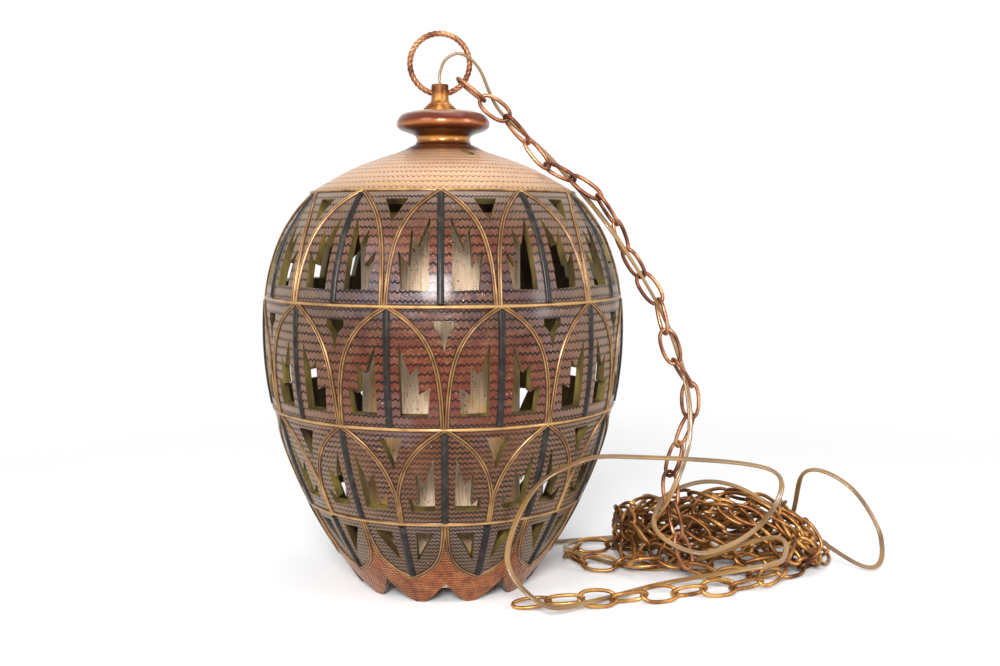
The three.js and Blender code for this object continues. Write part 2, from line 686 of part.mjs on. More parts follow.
// Chain. Its links touch at joints, which lie a pitch apart along a route. It hangs from the ring
// over the dome to the floor, lies in a heap, and ends in a run of loose links.
const UP = new THREE.Vector3(0, 0, 1);
const BACK = new THREE.Vector3(0, 1, 0);
const HANG_ROUTE = [
  [40, -9, 460], [62, -18, 442], [81, -11, 420], [99, -15, 398], [122, -30, 387],
  [148, -34, 367], [164, -27, 341], [176, -18, 314], [192, -11, 291], [208, -16, 266],
  [213, -20, 236], [224, -20, 208], [240, -12, 184], [237, -16, 155], [224, -19, 128],
  [216, -24, 99], [219, -32, 70], [225, -40, 42], [234, -46, 17],
];
// Turn of each hanging link about its length, in degrees
const HANG_ROLLS = [
  85, -8, 70, -48, 65, -45, 80, -48, 50, 0, 75, 15, 80, 18, -42, 60, -20, 60, -30,
];
const HEAP_ROUTE = [
  [262, -44, 8.7], [295, -38, 8.7], [330, -28, 8.7], [365, -5, 8.7], [390, 28, 8.7], [388, 64, 8.7],
  [358, 82, 8.7], [325, 76, 8.7], [294, 82, 8.7], [262, 72, 8.7], [236, 50, 8.7],
  [232, 15, 9.4], [252, -8, 19], [287, -14, 27], [320, 2, 27], [334, 35, 27], [316, 60, 27],
  [280, 52, 27], [258, 30, 27], [232, 28, 26], [205, 15, 18], [175, 0, 9.4], [145, 5, 8.7],
  [125, 30, 8.7], [134, 62, 8.7], [162, 74, 8.7], [192, 60, 9.4], [208, 38, 20], [228, 30, 38],
  [252, 46, 46], [284, 42, 46], [306, 18, 46], [295, -10, 46], [264, -12, 48], [250, 14, 56],
  [268, 42, 66], [298, 40, 70], [314, 14, 70], [330, -6, 58], [338, -26, 40], [324, -48, 22],
  [300, -62, 9.4],
];
const HEAP_LINKS = 44;
const TAIL_ROUTE = [
  [271, -72, 8.2], [240, -79, 8], [208, -88, 8], [178, -95, 8], [150, -101, 8], [122, -104, 9.1],
  [94, -101, 6.7], [58, -101, 2.9],
];
const TAIL_ROLLS = [-45, 45, -45, 45, -45, 45, -10];

const joint = (start, end, overhang) =>
  start.clone().addScaledVector(end.clone().sub(start).normalize(), overhang);

// Points a straight pitch apart along a line of close points, and the rest of the line
function strides(line, pitch, count) {
  const joints = [line[0]];
  let i = 1;
  while (joints.length <= count && i < line.length) {
    const from = joints[joints.length - 1];
    if (line[i].distanceTo(from) < pitch) {
      i += 1;
    } else {
      const along = line[i].clone().sub(line[i - 1]);
      const back = line[i - 1].clone().sub(from);
      const [a, b, c] = [along.lengthSq(), along.dot(back), back.lengthSq() - pitch ** 2];
      joints.push(line[i - 1].clone().addScaledVector(along, (-b + Math.sqrt(b * b - a * c)) / a));
    }
  }
  return [joints, line.slice(i)];
}

// An oval of wire, from where the link before it touches to where the next one does. corners is a
// quarter of its outline, in shares of half its length and half its width.
function link(start, end, roll, facing, corners, section) {
  const middle = start.clone().lerp(end, 0.5);
  const along = end.clone().sub(start).normalize();
  const level = facing.clone().cross(along).normalize();
  const side = level.applyAxisAngle(along, THREE.MathUtils.degToRad(roll));
  const normal = along.clone().cross(side);
  const upper = [...corners, ...corners.filter(([x]) => x > 0).map(([x, y]) => [-x, y]).reverse()];
  const outline = [...upper, ...upper.map(([x, y]) => [-x, -y])];
  const centres = outline.map(([x, y]) => middle.clone()
    .addScaledVector(along, (x * (LINK_LENGTH - LINK_WIRE)) / 2)
    .addScaledVector(side, (y * (LINK_WIDTH - LINK_WIRE)) / 2));
  const axes = (i) => {
    const ahead = centres[(i + 1) % centres.length].clone();
    ahead.sub(centres[(i + centres.length - 1) % centres.length]);
    return [normal, ahead.cross(normal).normalize()];
  };
  return swept(centres, axes, () => section, true);
}

const vectors = (points) => points.map((p) => new THREE.Vector3(...p));
const linkReach = (LINK_LENGTH - LINK_WIRE - LINK_PITCH) / 2; // wire's middle past the joint

// The first link hangs in the ring, inside its wire
const RING_HANG_ANGLE = 50; // degrees from the lowest point of the ring
const hangAngle = THREE.MathUtils.degToRad(RING_HANG_ANGLE);
const hangRadius = RING_RADIUS - RING_WIRE - LINK_WIRE / 2 - RING_SLACK;
const ringPoint = new THREE.Vector3(
  TUBE_X + hangRadius * Math.sin(hangAngle), RING_Y, ringCentre.z - hangRadius * Math.cos(hangAngle));
const firstJoint = joint(ringPoint, new THREE.Vector3(...HANG_ROUTE[0]), linkReach);
const chainRoute = new THREE.CatmullRomCurve3(
  [firstJoint, ...vectors([...HANG_ROUTE, ...HEAP_ROUTE, ...TAIL_ROUTE])],
  false, 'catmullrom', 0.5);
const chainLine = chainRoute.getPoints(16 * (chainRoute.points.length - 1));

// Each run starts a little back from the end of the one before it
const backStep = (joints) => joint(joints.at(-1), joints.at(-2), JOIN_STEP);
const [hangJoints, afterHang] = strides(chainLine, LINK_PITCH, HANG_ROLLS.length);
const [heapJoints, afterHeap] = strides(
  [backStep(hangJoints), ...afterHang], HEAP_PITCH, HEAP_LINKS);
const [tailJoints] = strides(
  [backStep(heapJoints), ...afterHeap], LINK_PITCH, TAIL_ROLLS.length);

function looseLinks(prefix, joints, rolls, facing) {
  const section = oval(LINK_WIRE / 2, LINK_WIRE / 2, WIRE_SIDES);
  rolls.forEach((roll, k) => {
    const number = String(k + 1).padStart(2, '0');
    const geometry = link(joints[k], joints[k + 1], roll, facing, LINK_CORNERS, section);
    piece(swagLamp, `${prefix}_${number}`, geometry, agedCopper);
  });
}

// The heap's links have wire of four faces, as much in area as the round wire
function heap() {
  const squareRadius = (LINK_WIRE / 2) * Math.sqrt(Math.PI / 2);
  const section = oval(squareRadius, squareRadius, 4);
  const links = heapJoints.slice(1).map((end, k) => solid(
    link(heapJoints[k], end, k % 2 ? 45 : -45, UP, HEAP_CORNERS, section)));
  return geometryOf(links.reduce((all, next) => all.add(next)));
}

looseLinks('chain_link', hangJoints, HANG_ROLLS, BACK);
piece(swagLamp, 'chain_pile', heap(), agedCopper);
looseLinks('tail_link', tailJoints, TAIL_ROLLS, UP);

// Cord. It leaves the nozzle beside the ring, follows the chain down, loops round the heap and
// over the floor, and ends in a coil behind the lamp.
const CORD_ROUTE = [
  [-3, -3.3, 476.6], [-3, -3.3, 486], [2.5, -4.3, 499], [16.5, -5, 504.5], [34, -3.6, 491],
  [54.5, -0.3, 451], [102.5, -3, 407], [160, -39.5, 333.5], [219.5, -11.5, 238], [234.5, -31, 148.5],
  [206, -39.5, 71], [190, 70, 15], [145, 86, 9.5], [129.5, 52.5, 8.5], [211, 0, 3.5],
  [306.5, -58, 50], [309.5, -89, 37.5], [271, -87.5, 28], [205, -50, 4], [135, -105.5, 7.5],
  [87, -140, 15], [54.5, -126, 50], [73.5, -130.5, 110.5], [113.5, -124.5, 137], [167, -91.5, 135.5],
  [309.5, -49, 112.5], [302.5, -53.5, 65.5], [241.5, -71, 39.5], [200, -42, 56], [226.5, -3, 83.5],
  [296, 14.5, 81], [412.5, -13, 7.5], [447, 27.5, 24], [421, 48.5, 72.5], [380.5, 72.5, 83.5],
  [362.5, 98, 13.5], [263, 134, 3.5], [90, 100, 3], [62, 123, 1.7], [62, 150, 1.7],
];
const CORD_FACING = new THREE.Vector3(0, -0.5, 1); // the cord's flat side turns this way
const CORD_STEPS_PER_POINT = 2;

// Directions across and through a flat cord, its flat side turned as given
function flatAxes(directions, facing) {
  return directions.map((along) => {
    const through = facing.clone().addScaledVector(along, -facing.dot(along)).normalize();
    return [through.clone().cross(along), through];
  });
}

// A section of so many sides, as wide and as thick as the cord
function cordSection(sides) {
  const stretch = 1 / Math.cos(Math.PI / sides);
  return oval((CORD_WIDTH / 2) * stretch, CORD_THICKNESS / 2, sides);
}

function flatCord(points, directions, facing, sides) {
  const axes = flatAxes(directions, facing);
  const section = cordSection(sides);
  return swept(points, (i) => axes[i].map((axis) => axis.clone()), () => section);
}

const cordCurve = new THREE.CatmullRomCurve3(vectors(CORD_ROUTE), false, 'catmullrom', 0.5);
const cordSteps = CORD_STEPS_PER_POINT * (CORD_ROUTE.length - 1);
const cordPoints = cordCurve.getPoints(cordSteps);
const cordDirections = cordPoints.map((_, i) => cordCurve.getTangent(i / cordSteps));
piece(swagLamp, 'cord', flatCord(cordPoints, cordDirections, CORD_FACING, 8), cordVinyl);

// Coil: it spirals in on the floor, climbs a layer and spirals out again, then runs to the plug
const coilOuterRadius = COIL_INNER_RADIUS + (COIL_SPACING * COIL_TURNS) / 2;
const coilStart = cordPoints.at(-1).clone().setY(cordPoints.at(-1).y + CORD_GAP);
const coilCentre = coilStart.clone().add(new THREE.Vector3(-coilOuterRadius, COIL_LEAD_IN, 0));

function coilPoint(turn) {
  const fromMiddle = turn - COIL_TURNS / 2;
  const radius = COIL_INNER_RADIUS + COIL_SPACING * Math.abs(fromMiddle);
  const angle = 2 * Math.PI * turn;
  const climb01 = THREE.MathUtils.smoothstep(fromMiddle, -0.25, 0.25);
  return coilCentre.clone().add(new THREE.Vector3(
    radius * Math.cos(angle), radius * Math.sin(angle), COIL_LAYER * climb01));
}

const coilTurns = Array.from({ length: COIL_TURNS * COIL_STEPS + 1 }, (_, i) =>
  coilPoint(i / COIL_STEPS));
const plugFace = coilTurns.at(-1).clone().add(new THREE.Vector3(0, COIL_LEAD_OUT, 0));
plugFace.z = PLUG_THICKNESS / 2 + CORD_GAP;
const coilPoints = [
  coilStart, ...coilTurns,
  plugFace.clone().add(new THREE.Vector3(0, -CORD_WIDTH - CORD_GAP, 0)),
  plugFace.clone().add(new THREE.Vector3(0, -CORD_GAP, 0)),
];
const chords = (points) => points.map((_, i) => points[Math.min(i + 1, points.length - 1)]
  .clone().sub(points[Math.max(i - 1, 0)]).normalize());
piece(swagLamp, 'cord_coil', flatCord(coilPoints, chords(coilPoints), UP, 6), cordVinyl);

// Least gap between turns of the coil, on the corners of its sections
function coilGap() {
  const axes = flatAxes(chords(coilTurns), UP);
  const corners = coilTurns.map((centre, i) => cordSection(6).map(([a, b]) =>
    centre.clone().addScaledVector(axes[i][0], a).addScaledVector(axes[i][1], b)));
  let least = Infinity;
  corners.forEach((ring, i) => corners.slice(i + COIL_STEPS / 2).forEach((other) => {
    ring.forEach((p) => other.forEach((q) => { least = Math.min(least, p.distanceTo(q)); }));
  }));
  return least;
}
console.log(`coil: least gap to itself ${coilGap().toFixed(2)} mm`);

// Plug: a moulded body that widens from the cord, and two flat blades
function plugBody() {
  const edge = PLUG_BEVEL;
  const [neck, half] = [PLUG_NECK / 2 - edge, PLUG_WIDTH / 2 - edge];
  const outline = new THREE.Shape([
    [-neck, edge], [neck, edge], [half, PLUG_TAPER], [half, PLUG_LENGTH - edge],
    [-half, PLUG_LENGTH - edge], [-half, PLUG_TAPER],
  ].map(([x, y]) => new THREE.Vector2(x, y)));
  return new THREE.ExtrudeGeometry(outline, {
    depth: PLUG_THICKNESS - 2 * edge, bevelThickness: edge, bevelSize: edge, bevelSegments: 1,
  }).translate(plugFace.x, plugFace.y, plugFace.z - PLUG_THICKNESS / 2 + edge);
}
piece(swagLamp, 'plug_body', plugBody(), plugVinyl);
for (const [name, hand] of [['plug_blade_left', -1], ['plug_blade_right', 1]]) {
  const blade = new THREE.BoxGeometry(BLADE_THICKNESS, BLADE_LENGTH, BLADE_WIDTH);
  blade.translate(plugFace.x + (hand * BLADE_SPACING) / 2,
    plugFace.y + PLUG_LENGTH + CORD_GAP + BLADE_LENGTH / 2, plugFace.z);
  piece(swagLamp, name, blade, brass);
}

// Lead from the socket up the tube, which steps past the ring to the mouth of the nozzle
function innerLead() {
  const [first] = CORD_ROUTE;
  const offset = first[1];
  const path = [
    [0, coreTop + FIT_GAP], [0, TUBE_TOP - 1.5], [offset * 0.4, TUBE_TOP + 3.5],
    [offset, TUBE_TOP + 8.5], [offset, nozzleTop],
  ].map(([y, z]) => new THREE.Vector3(0, y, z));
  const axes = [new THREE.Vector3(1, 0, 0), new THREE.Vector3(0, 1, 0)];
  return swept(path, () => axes, () => cordSection(8));
}
piece(fittings, 'inner_lead', innerLead(), cordVinyl);

// The origin lies on the floor under the middle of everything but the cord and its plug
const onCord = ['cord', 'cord_coil', 'plug_body', 'plug_blade_left', 'plug_blade_right'];
swagLamp.updateMatrixWorld(true);
const extent = new THREE.Box3();
swagLamp.traverse((mesh) => {
  if (mesh.isMesh && !onCord.includes(mesh.name)) extent.expandByObject(mesh, true);
});
const middle = extent.getCenter(new THREE.Vector3());
swagLamp.position.set(-middle.x, -middle.y, -extent.min.z);

export default swagLamp;
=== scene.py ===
# %% [markdown]
# # A pierced ceramic swag lamp
# The lamp is one hollow ceramic casting, pierced with arches and glazed with a metallic lustre.
# A fabric liner stands inside it, a turned finial and a brass nozzle close the top, and a long
# link chain and a flat cord lie heaped beside it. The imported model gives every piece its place.
# Here the fine surfaces are worked out with numpy and laid over it.

# %% Load the model
import math

import bmesh
import bpy
import numpy as np
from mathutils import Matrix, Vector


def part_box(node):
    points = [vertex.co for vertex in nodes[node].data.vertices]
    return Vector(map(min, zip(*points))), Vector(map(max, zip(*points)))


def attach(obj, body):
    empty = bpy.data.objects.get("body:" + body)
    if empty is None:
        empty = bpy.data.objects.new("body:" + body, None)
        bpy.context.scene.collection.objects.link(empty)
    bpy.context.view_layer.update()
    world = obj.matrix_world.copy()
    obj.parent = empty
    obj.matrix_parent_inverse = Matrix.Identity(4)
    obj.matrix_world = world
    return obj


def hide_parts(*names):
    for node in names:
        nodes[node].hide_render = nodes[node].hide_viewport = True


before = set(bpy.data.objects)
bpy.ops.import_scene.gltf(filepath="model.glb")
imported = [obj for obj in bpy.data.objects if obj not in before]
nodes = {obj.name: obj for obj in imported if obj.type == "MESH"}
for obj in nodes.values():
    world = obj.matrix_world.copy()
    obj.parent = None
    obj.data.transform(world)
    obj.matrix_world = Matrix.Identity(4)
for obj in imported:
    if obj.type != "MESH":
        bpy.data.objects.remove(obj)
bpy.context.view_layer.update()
shell_low, shell_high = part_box("ceramic_shell")
LAMP_X = (shell_low.x + shell_high.x) / 2  # the lamp's upright axis, across the view
print("model", len(nodes), "nodes, lamp axis at x =", round(LAMP_X, 4))

# %% [markdown]
# Colours are written as the sRGB hex values that a painter would pick. Blender works in
# linear light, so one function turns them round. One more function adds a node to a material.

# %% Colours and nodes


def hex_colour(code):
    """Each channel c of the sRGB code becomes ((c + 0.055) / 1.055) ** 2.4, or c / 12.92 if dark."""
    channels = [int(code[i:i + 2], 16) / 255 for i in (1, 3, 5)]
    linear = [c / 12.92 if c <= 0.04045 else ((c + 0.055) / 1.055) ** 2.4 for c in channels]
    return (*linear, 1.0)


def add(tree, kind, inputs=None, out=0, stops=None, **settings):
    """Adds a shader node and returns one of its outputs, or all of them where out is None. inputs
    gives a socket, by name or number, a value, a hex colour or the output that feeds it. stops are
    a colour ramp's places and colours."""
    node = tree.nodes.new("ShaderNode" + kind)
    for name, value in settings.items():
        setattr(node, name, value)
    for key, value in (inputs or {}).items():
        if isinstance(value, bpy.types.NodeSocket):
            tree.links.new(value, node.inputs[key])
        else:
            node.inputs[key].default_value = hex_colour(value) if isinstance(value, str) else value
    if stops:
        elements = node.color_ramp.elements
        for place, _ in stops[2:]:
            elements.new(place)
        for element, (place, colour) in zip(elements, stops):
            element.position = place
            element.color = hex_colour(colour) if isinstance(colour, str) else (*[colour] * 3, 1.0)
    if out is None:
        return node.outputs
    return node.outputs[out] if node.outputs else node


def new_material(name):
    """An empty material, its tree, and the place of the point that it colours, in metres."""
    material = bpy.data.materials.new(name)
    material.use_nodes = True
    tree = material.node_tree
    tree.nodes.clear()
    return material, tree, add(tree, "TexCoord", out="Object")


def surface(tree, height, depth, **sockets):
    """Ends a material in a Principled BSDF. height in 0 to 1 becomes a bump of that depth in metres."""
    inputs = {name.replace("_", " "): value for name, value in sockets.items()}
    inputs["Normal"] = add(tree, "Bump", {"Height": height, "Distance": depth})
    shader = add(tree, "BsdfPrincipled", inputs)
    add(tree, "OutputMaterial", {"Surface": shader})


def grained(name, scale, stops, depth, detail=5.0, upright=1.0, **sockets):
    """A material whose one noise gives both its colour, by a ramp, and its bump. An upright value
    under 1 draws the noise out into upright streaks."""
    material, tree, place = new_material(name)
    streaks = add(tree, "Mapping", {"Vector": place, "Scale": (1, 1, upright)})
    noise = add(tree, "TexNoise", {"Vector": streaks, "Scale": scale, "Detail": detail})
    colour = add(tree, "ValToRGB", {"Fac": noise}, stops=stops)
    surface(tree, noise, depth, Base_Color=colour, **sockets)
    return material


print("a middle grey, #808080, is", round(hex_colour("#808080")[0], 3), "in linear light")

# %% [markdown]
# ## Camera and light
# The lamp was photographed from about one metre, a little above its middle and looking slightly
# down, so the tier lines bow. The lens and the turn were worked out from the body's outline.

# %% Camera
scene = bpy.context.scene
CAMERA_DISTANCE = 1.108
CAMERA_HEIGHT = 0.344
CAMERA_YAW = 2.79
CAMERA_PITCH = 5.37
FOCAL_PIXELS = 1150
IMAGE_WIDTH = 1000
camera_data = bpy.data.cameras.new("camera")
camera_data.sensor_width = 36
camera_data.lens = camera_data.sensor_width * FOCAL_PIXELS / IMAGE_WIDTH
camera = bpy.data.objects.new("camera", camera_data)
camera.location = (LAMP_X, -CAMERA_DISTANCE, CAMERA_HEIGHT)
camera.rotation_euler = (math.radians(90 - CAMERA_PITCH), 0, math.radians(-CAMERA_YAW))
scene.collection.objects.link(camera)
scene.camera = camera
scene.view_settings.view_transform = "Standard"
print("camera lens", round(camera_data.lens, 1), "mm")

# %% [markdown]
# The light is a white studio: an even dome of light, a large soft box high on the left, a
# smaller one on the right, a bright small one in front and one overhead. The dome looks white to
# the camera and in reflections, and is dimmer as a light, so that the boxes can shape the glaze.

# %% Light
world = bpy.data.worlds.new("studio")
scene.world = world
world.use_nodes = True
tree = world.node_tree
tree.nodes.clear()
DOME_LIGHT = 0.52
rays = add(tree, "LightPath", out=None)
mirrored = add(tree, "Math", {
    0: rays["Is Glossy Ray"], 1: rays["Is Transmission Ray"]}, operation="MAXIMUM")
seen = add(tree, "Math", {0: rays["Is Camera Ray"], 1: mirrored}, operation="MAXIMUM")
strength = add(tree, "MapRange", {"Value": seen, "To Min": DOME_LIGHT, "To Max": 1.0})
background = add(tree, "Background", {"Color": "#ffffff", "Strength": strength})
add(tree, "OutputWorld", {"Surface": background})

AIM_HEIGHT = 0.2
# Each soft box's place, its width and height, and its power in watts
SOFT_BOXES = {
    "soft_box_left": ((-1.3, -1.2, 1.2), (0.7, 0.9), 12),
    "soft_box_right": ((1.5, -0.9, 0.8), (0.35, 1.0), 11),
    "soft_box_front": ((-0.25, -1.7, 0.85), (0.5, 0.4), 38),
    "soft_box_top": ((0.1, 0.1, 1.9), (1.2, 0.9), 8),
}
for name, (place, size, power) in SOFT_BOXES.items():
    lamp_data = bpy.data.lights.new(name, "AREA")
    lamp_data.shape = "RECTANGLE"
    lamp_data.size, lamp_data.size_y = size
    lamp_data.energy = power
    soft_box = bpy.data.objects.new(name, lamp_data)
    soft_box.location = place
    aim = np.array([LAMP_X, 0, AIM_HEIGHT]) - np.array(place)
    yaw, tilt = math.atan2(-aim[0], aim[1]), math.atan2(aim[2], math.hypot(aim[0], aim[1]))
    soft_box.rotation_euler = (math.pi / 2 + tilt, 0, yaw)
    scene.collection.objects.link(soft_box)
print("soft boxes", len(SOFT_BOXES), "and a dome at", DOME_LIGHT)

# %% [markdown]
# The floor is a sheet of white paper that catches the shadow. Away from the lamp it fades into a
# plain white glow, as the paper sweep of a studio does, so no horizon shows.

# %% Floor
FLOOR_SIZE = 30
FLOOR_FADE_START = 0.42
FLOOR_FADE_END = 1.1
floor_material, tree, place = new_material("studio_floor")
distance = add(tree, "VectorMath", {0: place}, 1, operation="LENGTH")
fade = add(tree, "MapRange", {
    "Value": distance, "From Min": FLOOR_FADE_START, "From Max": FLOOR_FADE_END,
}, interpolation_type="SMOOTHSTEP")
paper = add(tree, "BsdfPrincipled", {"Base Color": "#fafbfc", "Roughness": 0.75, "Specular IOR Level": 0.1})
glow = add(tree, "Emission", {"Color": "#ffffff", "Strength": 1.0})
sweep = add(tree, "MixShader", {0: fade, 1: paper, 2: glow})
add(tree, "OutputMaterial", {"Surface": sweep})
bpy.ops.mesh.primitive_plane_add(size=FLOOR_SIZE, location=(0, 0, 0))
floor = bpy.context.object
floor.name = "floor"
floor.data.transform(floor.matrix_world)
floor.data.materials.append(floor_material)
print("floor", FLOOR_SIZE, "m wide")

# %% [markdown]
# ## Surfaces from numbers
# Every new piece is a grid of points: rows run along the piece and columns run round it. Quads
# join each point to its neighbours, and a tube's two ends are closed by one face each.

# %% Grids, tubes and turned pieces


def grid_faces(rows, columns, ring=False):
    """Quads between neighbouring points of a grid whose columns close round. A ring's last row
    joins its first."""
    i = np.arange(rows if ring else rows - 1)[:, None]
    j = np.arange(columns)[None, :]
    after, beside = (i + 1) % rows, (j + 1) % columns
    corners = (i * columns + j, i * columns + beside, after * columns + beside, after * columns + j)
    return np.stack(corners, -1).reshape(-1, 4)


SHARP_ANGLE = 40


def new_piece(name, points, faces, material, slot, body="lamp", replaces=(), sharp=SHARP_ANGLE):
    """Makes a mesh object whose place is in its mesh, smooth but for edges sharper than `sharp`."""
    mesh = bpy.data.meshes.new(name)
    mesh.from_pydata(np.asarray(points, float).reshape(-1, 3).tolist(), [], faces)
    mesh.shade_smooth()
    mesh.set_sharp_from_angle(angle=math.radians(sharp))
    mesh.materials.append(material)
    piece = bpy.data.objects.new(name, mesh)
    scene.collection.objects.link(piece)
    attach(piece, body)
    if replaces:
        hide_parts(*replaces)
    return piece


def unit(vectors):
    return vectors / np.linalg.norm(vectors, axis=-1, keepdims=True)


def tube(path, across, through, section, ring=False):
    """Points path[i] + a * across[i] + b * through[i] for each [a, b] of the section, where
    across x through points along the path. section is one outline, or one for each point."""
    section = np.broadcast_to(section, (len(path), *np.shape(section)[-2:]))
    points = (path[:, None] + section[..., :1] * across[:, None] + section[..., 1:] * through[:, None])
    rows, columns = points.shape[:2]
    faces = grid_faces(rows, columns, ring).tolist()
    if not ring:
        last = (rows - 1) * columns
        faces += [list(range(columns))[::-1], list(range(last, last + columns))]
    return points.reshape(-1, 3), faces


def together(parts):
    """Joins the points and faces of several parts into one mesh."""
    starts = np.cumsum([0] + [len(points) for points, _ in parts])
    faces = [[k + start for k in face] for (_, fs), start in zip(parts, starts) for face in fs]
    return np.concatenate([points for points, _ in parts]), faces


def turns(count):
    """Equal angles once round, as many as count says."""
    return 2 * np.pi * np.arange(count) / count


def round_section(radius, sides):
    angle = turns(sides)
    return np.stack([radius * np.cos(angle), radius * np.sin(angle)], -1)


def turned(profile, sides, x):
    """A closed profile of [radius, height] points swept round the upright axis at x."""
    radius, height = np.array(profile, float).T[..., None]
    angle = turns(sides)
    points = np.stack([x + radius * np.cos(angle), radius * np.sin(angle), height + 0 * angle], -1)
    return points.reshape(-1, 3), grid_faces(len(profile), sides, True).tolist()


def curve_through(points, steps):
    """Catmull-Rom curve: on each stretch the cubic with slopes half of the difference between
    the neighbours on both sides, evaluated at equal steps."""
    points = np.asarray(points, float)
    padded = np.concatenate([[2 * points[0] - points[1]], points, [2 * points[-1] - points[-2]]])
    t = np.linspace(0, 1, steps, endpoint=False)[:, None]
    before, start, end, after = (padded[i:len(padded) - 3 + i, None] for i in range(4))
    slope_a, slope_b = (end - before) / 2, (after - start) / 2
    curve = (start * (2 * t**3 - 3 * t**2 + 1) + slope_a * (t**3 - 2 * t**2 + t)
             + end * (3 * t**2 - 2 * t**3) + slope_b * (t**3 - t**2))
    return np.concatenate([curve.reshape(-1, points.shape[1]), points[-1:]])


print("a grid of 3 rows by 8 columns has", len(grid_faces(3, 8)), "faces")

# %% [markdown]
# ## The cord
# A flat twin lead: two insulated conductors side by side in clear gold-brown vinyl, which shows
# as a shallow groove down its middle. It leaves the nozzle, follows the chain down, makes wide
# loops round the heap and ends in a neat coil behind the lamp. The route's points are the
# model's own, and one smooth curve runs through them.

# %% Vinyl


def vinyl(name, light, dark):
    """Clear moulded PVC over stranded copper: glossy, a little see-through, warm in its depth."""
    material, tree, place = new_material(name)
    blotches = add(tree, "TexNoise", {"Vector": place, "Scale": 18.0, "Detail": 3.0})
    colour = add(tree, "ValToRGB", {"Fac": blotches}, stops=[(0.3, dark), (0.62, light)])
    strands = add(tree, "TexNoise", {"Vector": place, "Scale": 900.0, "Detail": 1.0})
    surface(tree, strands, 0.00004, Base_Color=colour, Roughness=0.3, IOR=1.53, Coat_Weight=0.35,
            Subsurface_Weight=0.1, Subsurface_Scale=0.002)
    return material


cord_vinyl = vinyl("clear_gold_vinyl", "#8c6834", "#5a3e1a")
plug_vinyl = vinyl("moulded_brown_vinyl", "#8a6a3c", "#5f4526")
print("materials", cord_vinyl.name, "and", plug_vinyl.name)

# %% Cord route and coil
CORD_ROUTE = np.array([
    (-0.003, -0.0033, 0.4766), (-0.003, -0.0033, 0.486), (0.0025, -0.0043, 0.499),
    (0.0165, -0.005, 0.5045), (0.034, -0.0036, 0.491), (0.0545, -0.0003, 0.451),
    (0.1025, -0.003, 0.407), (0.16, -0.0395, 0.3335), (0.2195, -0.0115, 0.238),
    (0.2345, -0.031, 0.1485), (0.206, -0.0395, 0.071), (0.19, 0.07, 0.015), (0.145, 0.086, 0.0095),
    (0.1295, 0.0525, 0.0085), (0.211, 0, 0.0035), (0.3065, -0.058, 0.05), (0.3095, -0.089, 0.0375),
    (0.271, -0.0875, 0.028), (0.205, -0.05, 0.004), (0.135, -0.1055, 0.0075), (0.087, -0.14, 0.015),
    (0.0545, -0.126, 0.05), (0.0735, -0.1305, 0.1105), (0.1135, -0.1245, 0.137),
    (0.167, -0.0915, 0.1355), (0.3095, -0.049, 0.1125), (0.3025, -0.0535, 0.0655),
    (0.2415, -0.071, 0.0395), (0.2, -0.042, 0.056), (0.2265, -0.003, 0.0835), (0.296, 0.0145, 0.081),
    (0.4125, -0.013, 0.0075), (0.447, 0.0275, 0.024), (0.421, 0.0485, 0.0725),
    (0.3805, 0.0725, 0.0835), (0.3625, 0.098, 0.0135), (0.263, 0.134, 0.0035), (0.09, 0.1, 0.003),
    (0.062, 0.123, 0.0017), (0.062, 0.15, 0.0017),
]) + [LAMP_X, 0, 0]
CORD_WIDTH = 0.0052
CORD_THICKNESS = 0.0026
CORD_GAP = 0.0003
CORD_REST = CORD_WIDTH / 3  # the cord's middle lies no lower than this
CORD_STEPS = 14
CORD_TURNS_FROM = 3 * CORD_STEPS
CORD_TURNS_OVER = 4 * CORD_STEPS
CORD_LEAN = 0.5  # how far forward the flat side faces, to 1 upward
LOBE_REACH = 0.72 * np.pi  # half of the arc that each conductor shows
LOBE_POINTS = 8
LEAD_STEPS = 10
COIL_TURNS = 5
COIL_INNER_RADIUS = 0.022
COIL_SPACING = 0.0059
COIL_LAYER = 0.0031
COIL_LEAD_IN = 0.008
COIL_STEPS = 48
plug_low, plug_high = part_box("plug_body")


def coil_points(start):
    """A coil that spirals in, climbs one layer in the half turn where it reverses, and spirals
    out: radius = inner + spacing * |turns from the middle|, at an angle of 2 pi * turns."""
    turn = np.linspace(0, COIL_TURNS, COIL_TURNS * COIL_STEPS + 1)
    from_middle = turn - COIL_TURNS / 2
    radius = COIL_INNER_RADIUS + COIL_SPACING * np.abs(from_middle)
    rise = np.clip(from_middle / 0.5 + 0.5, 0, 1)
    climb = COIL_LAYER * rise * rise * (3 - 2 * rise)
    centre = start + [-radius[0], COIL_LEAD_IN, 0]
    spiral = np.stack([radius * np.cos(2 * np.pi * turn), radius * np.sin(2 * np.pi * turn), climb], -1)
    return centre + spiral


cord_line = curve_through(CORD_ROUTE, CORD_STEPS)
cord_line[:, 2] = np.maximum(cord_line[:, 2], CORD_REST)
coil_line = coil_points(cord_line[-1] + [0, CORD_GAP, 0])
plug_face = np.array([(plug_low.x + plug_high.x) / 2, plug_low.y, (plug_low.z + plug_high.z) / 2])
lead_out = np.linspace(coil_line[-1], plug_face - [0, CORD_GAP, 0], LEAD_STEPS)[1:]
cord_path = np.concatenate([cord_line, coil_line, lead_out])


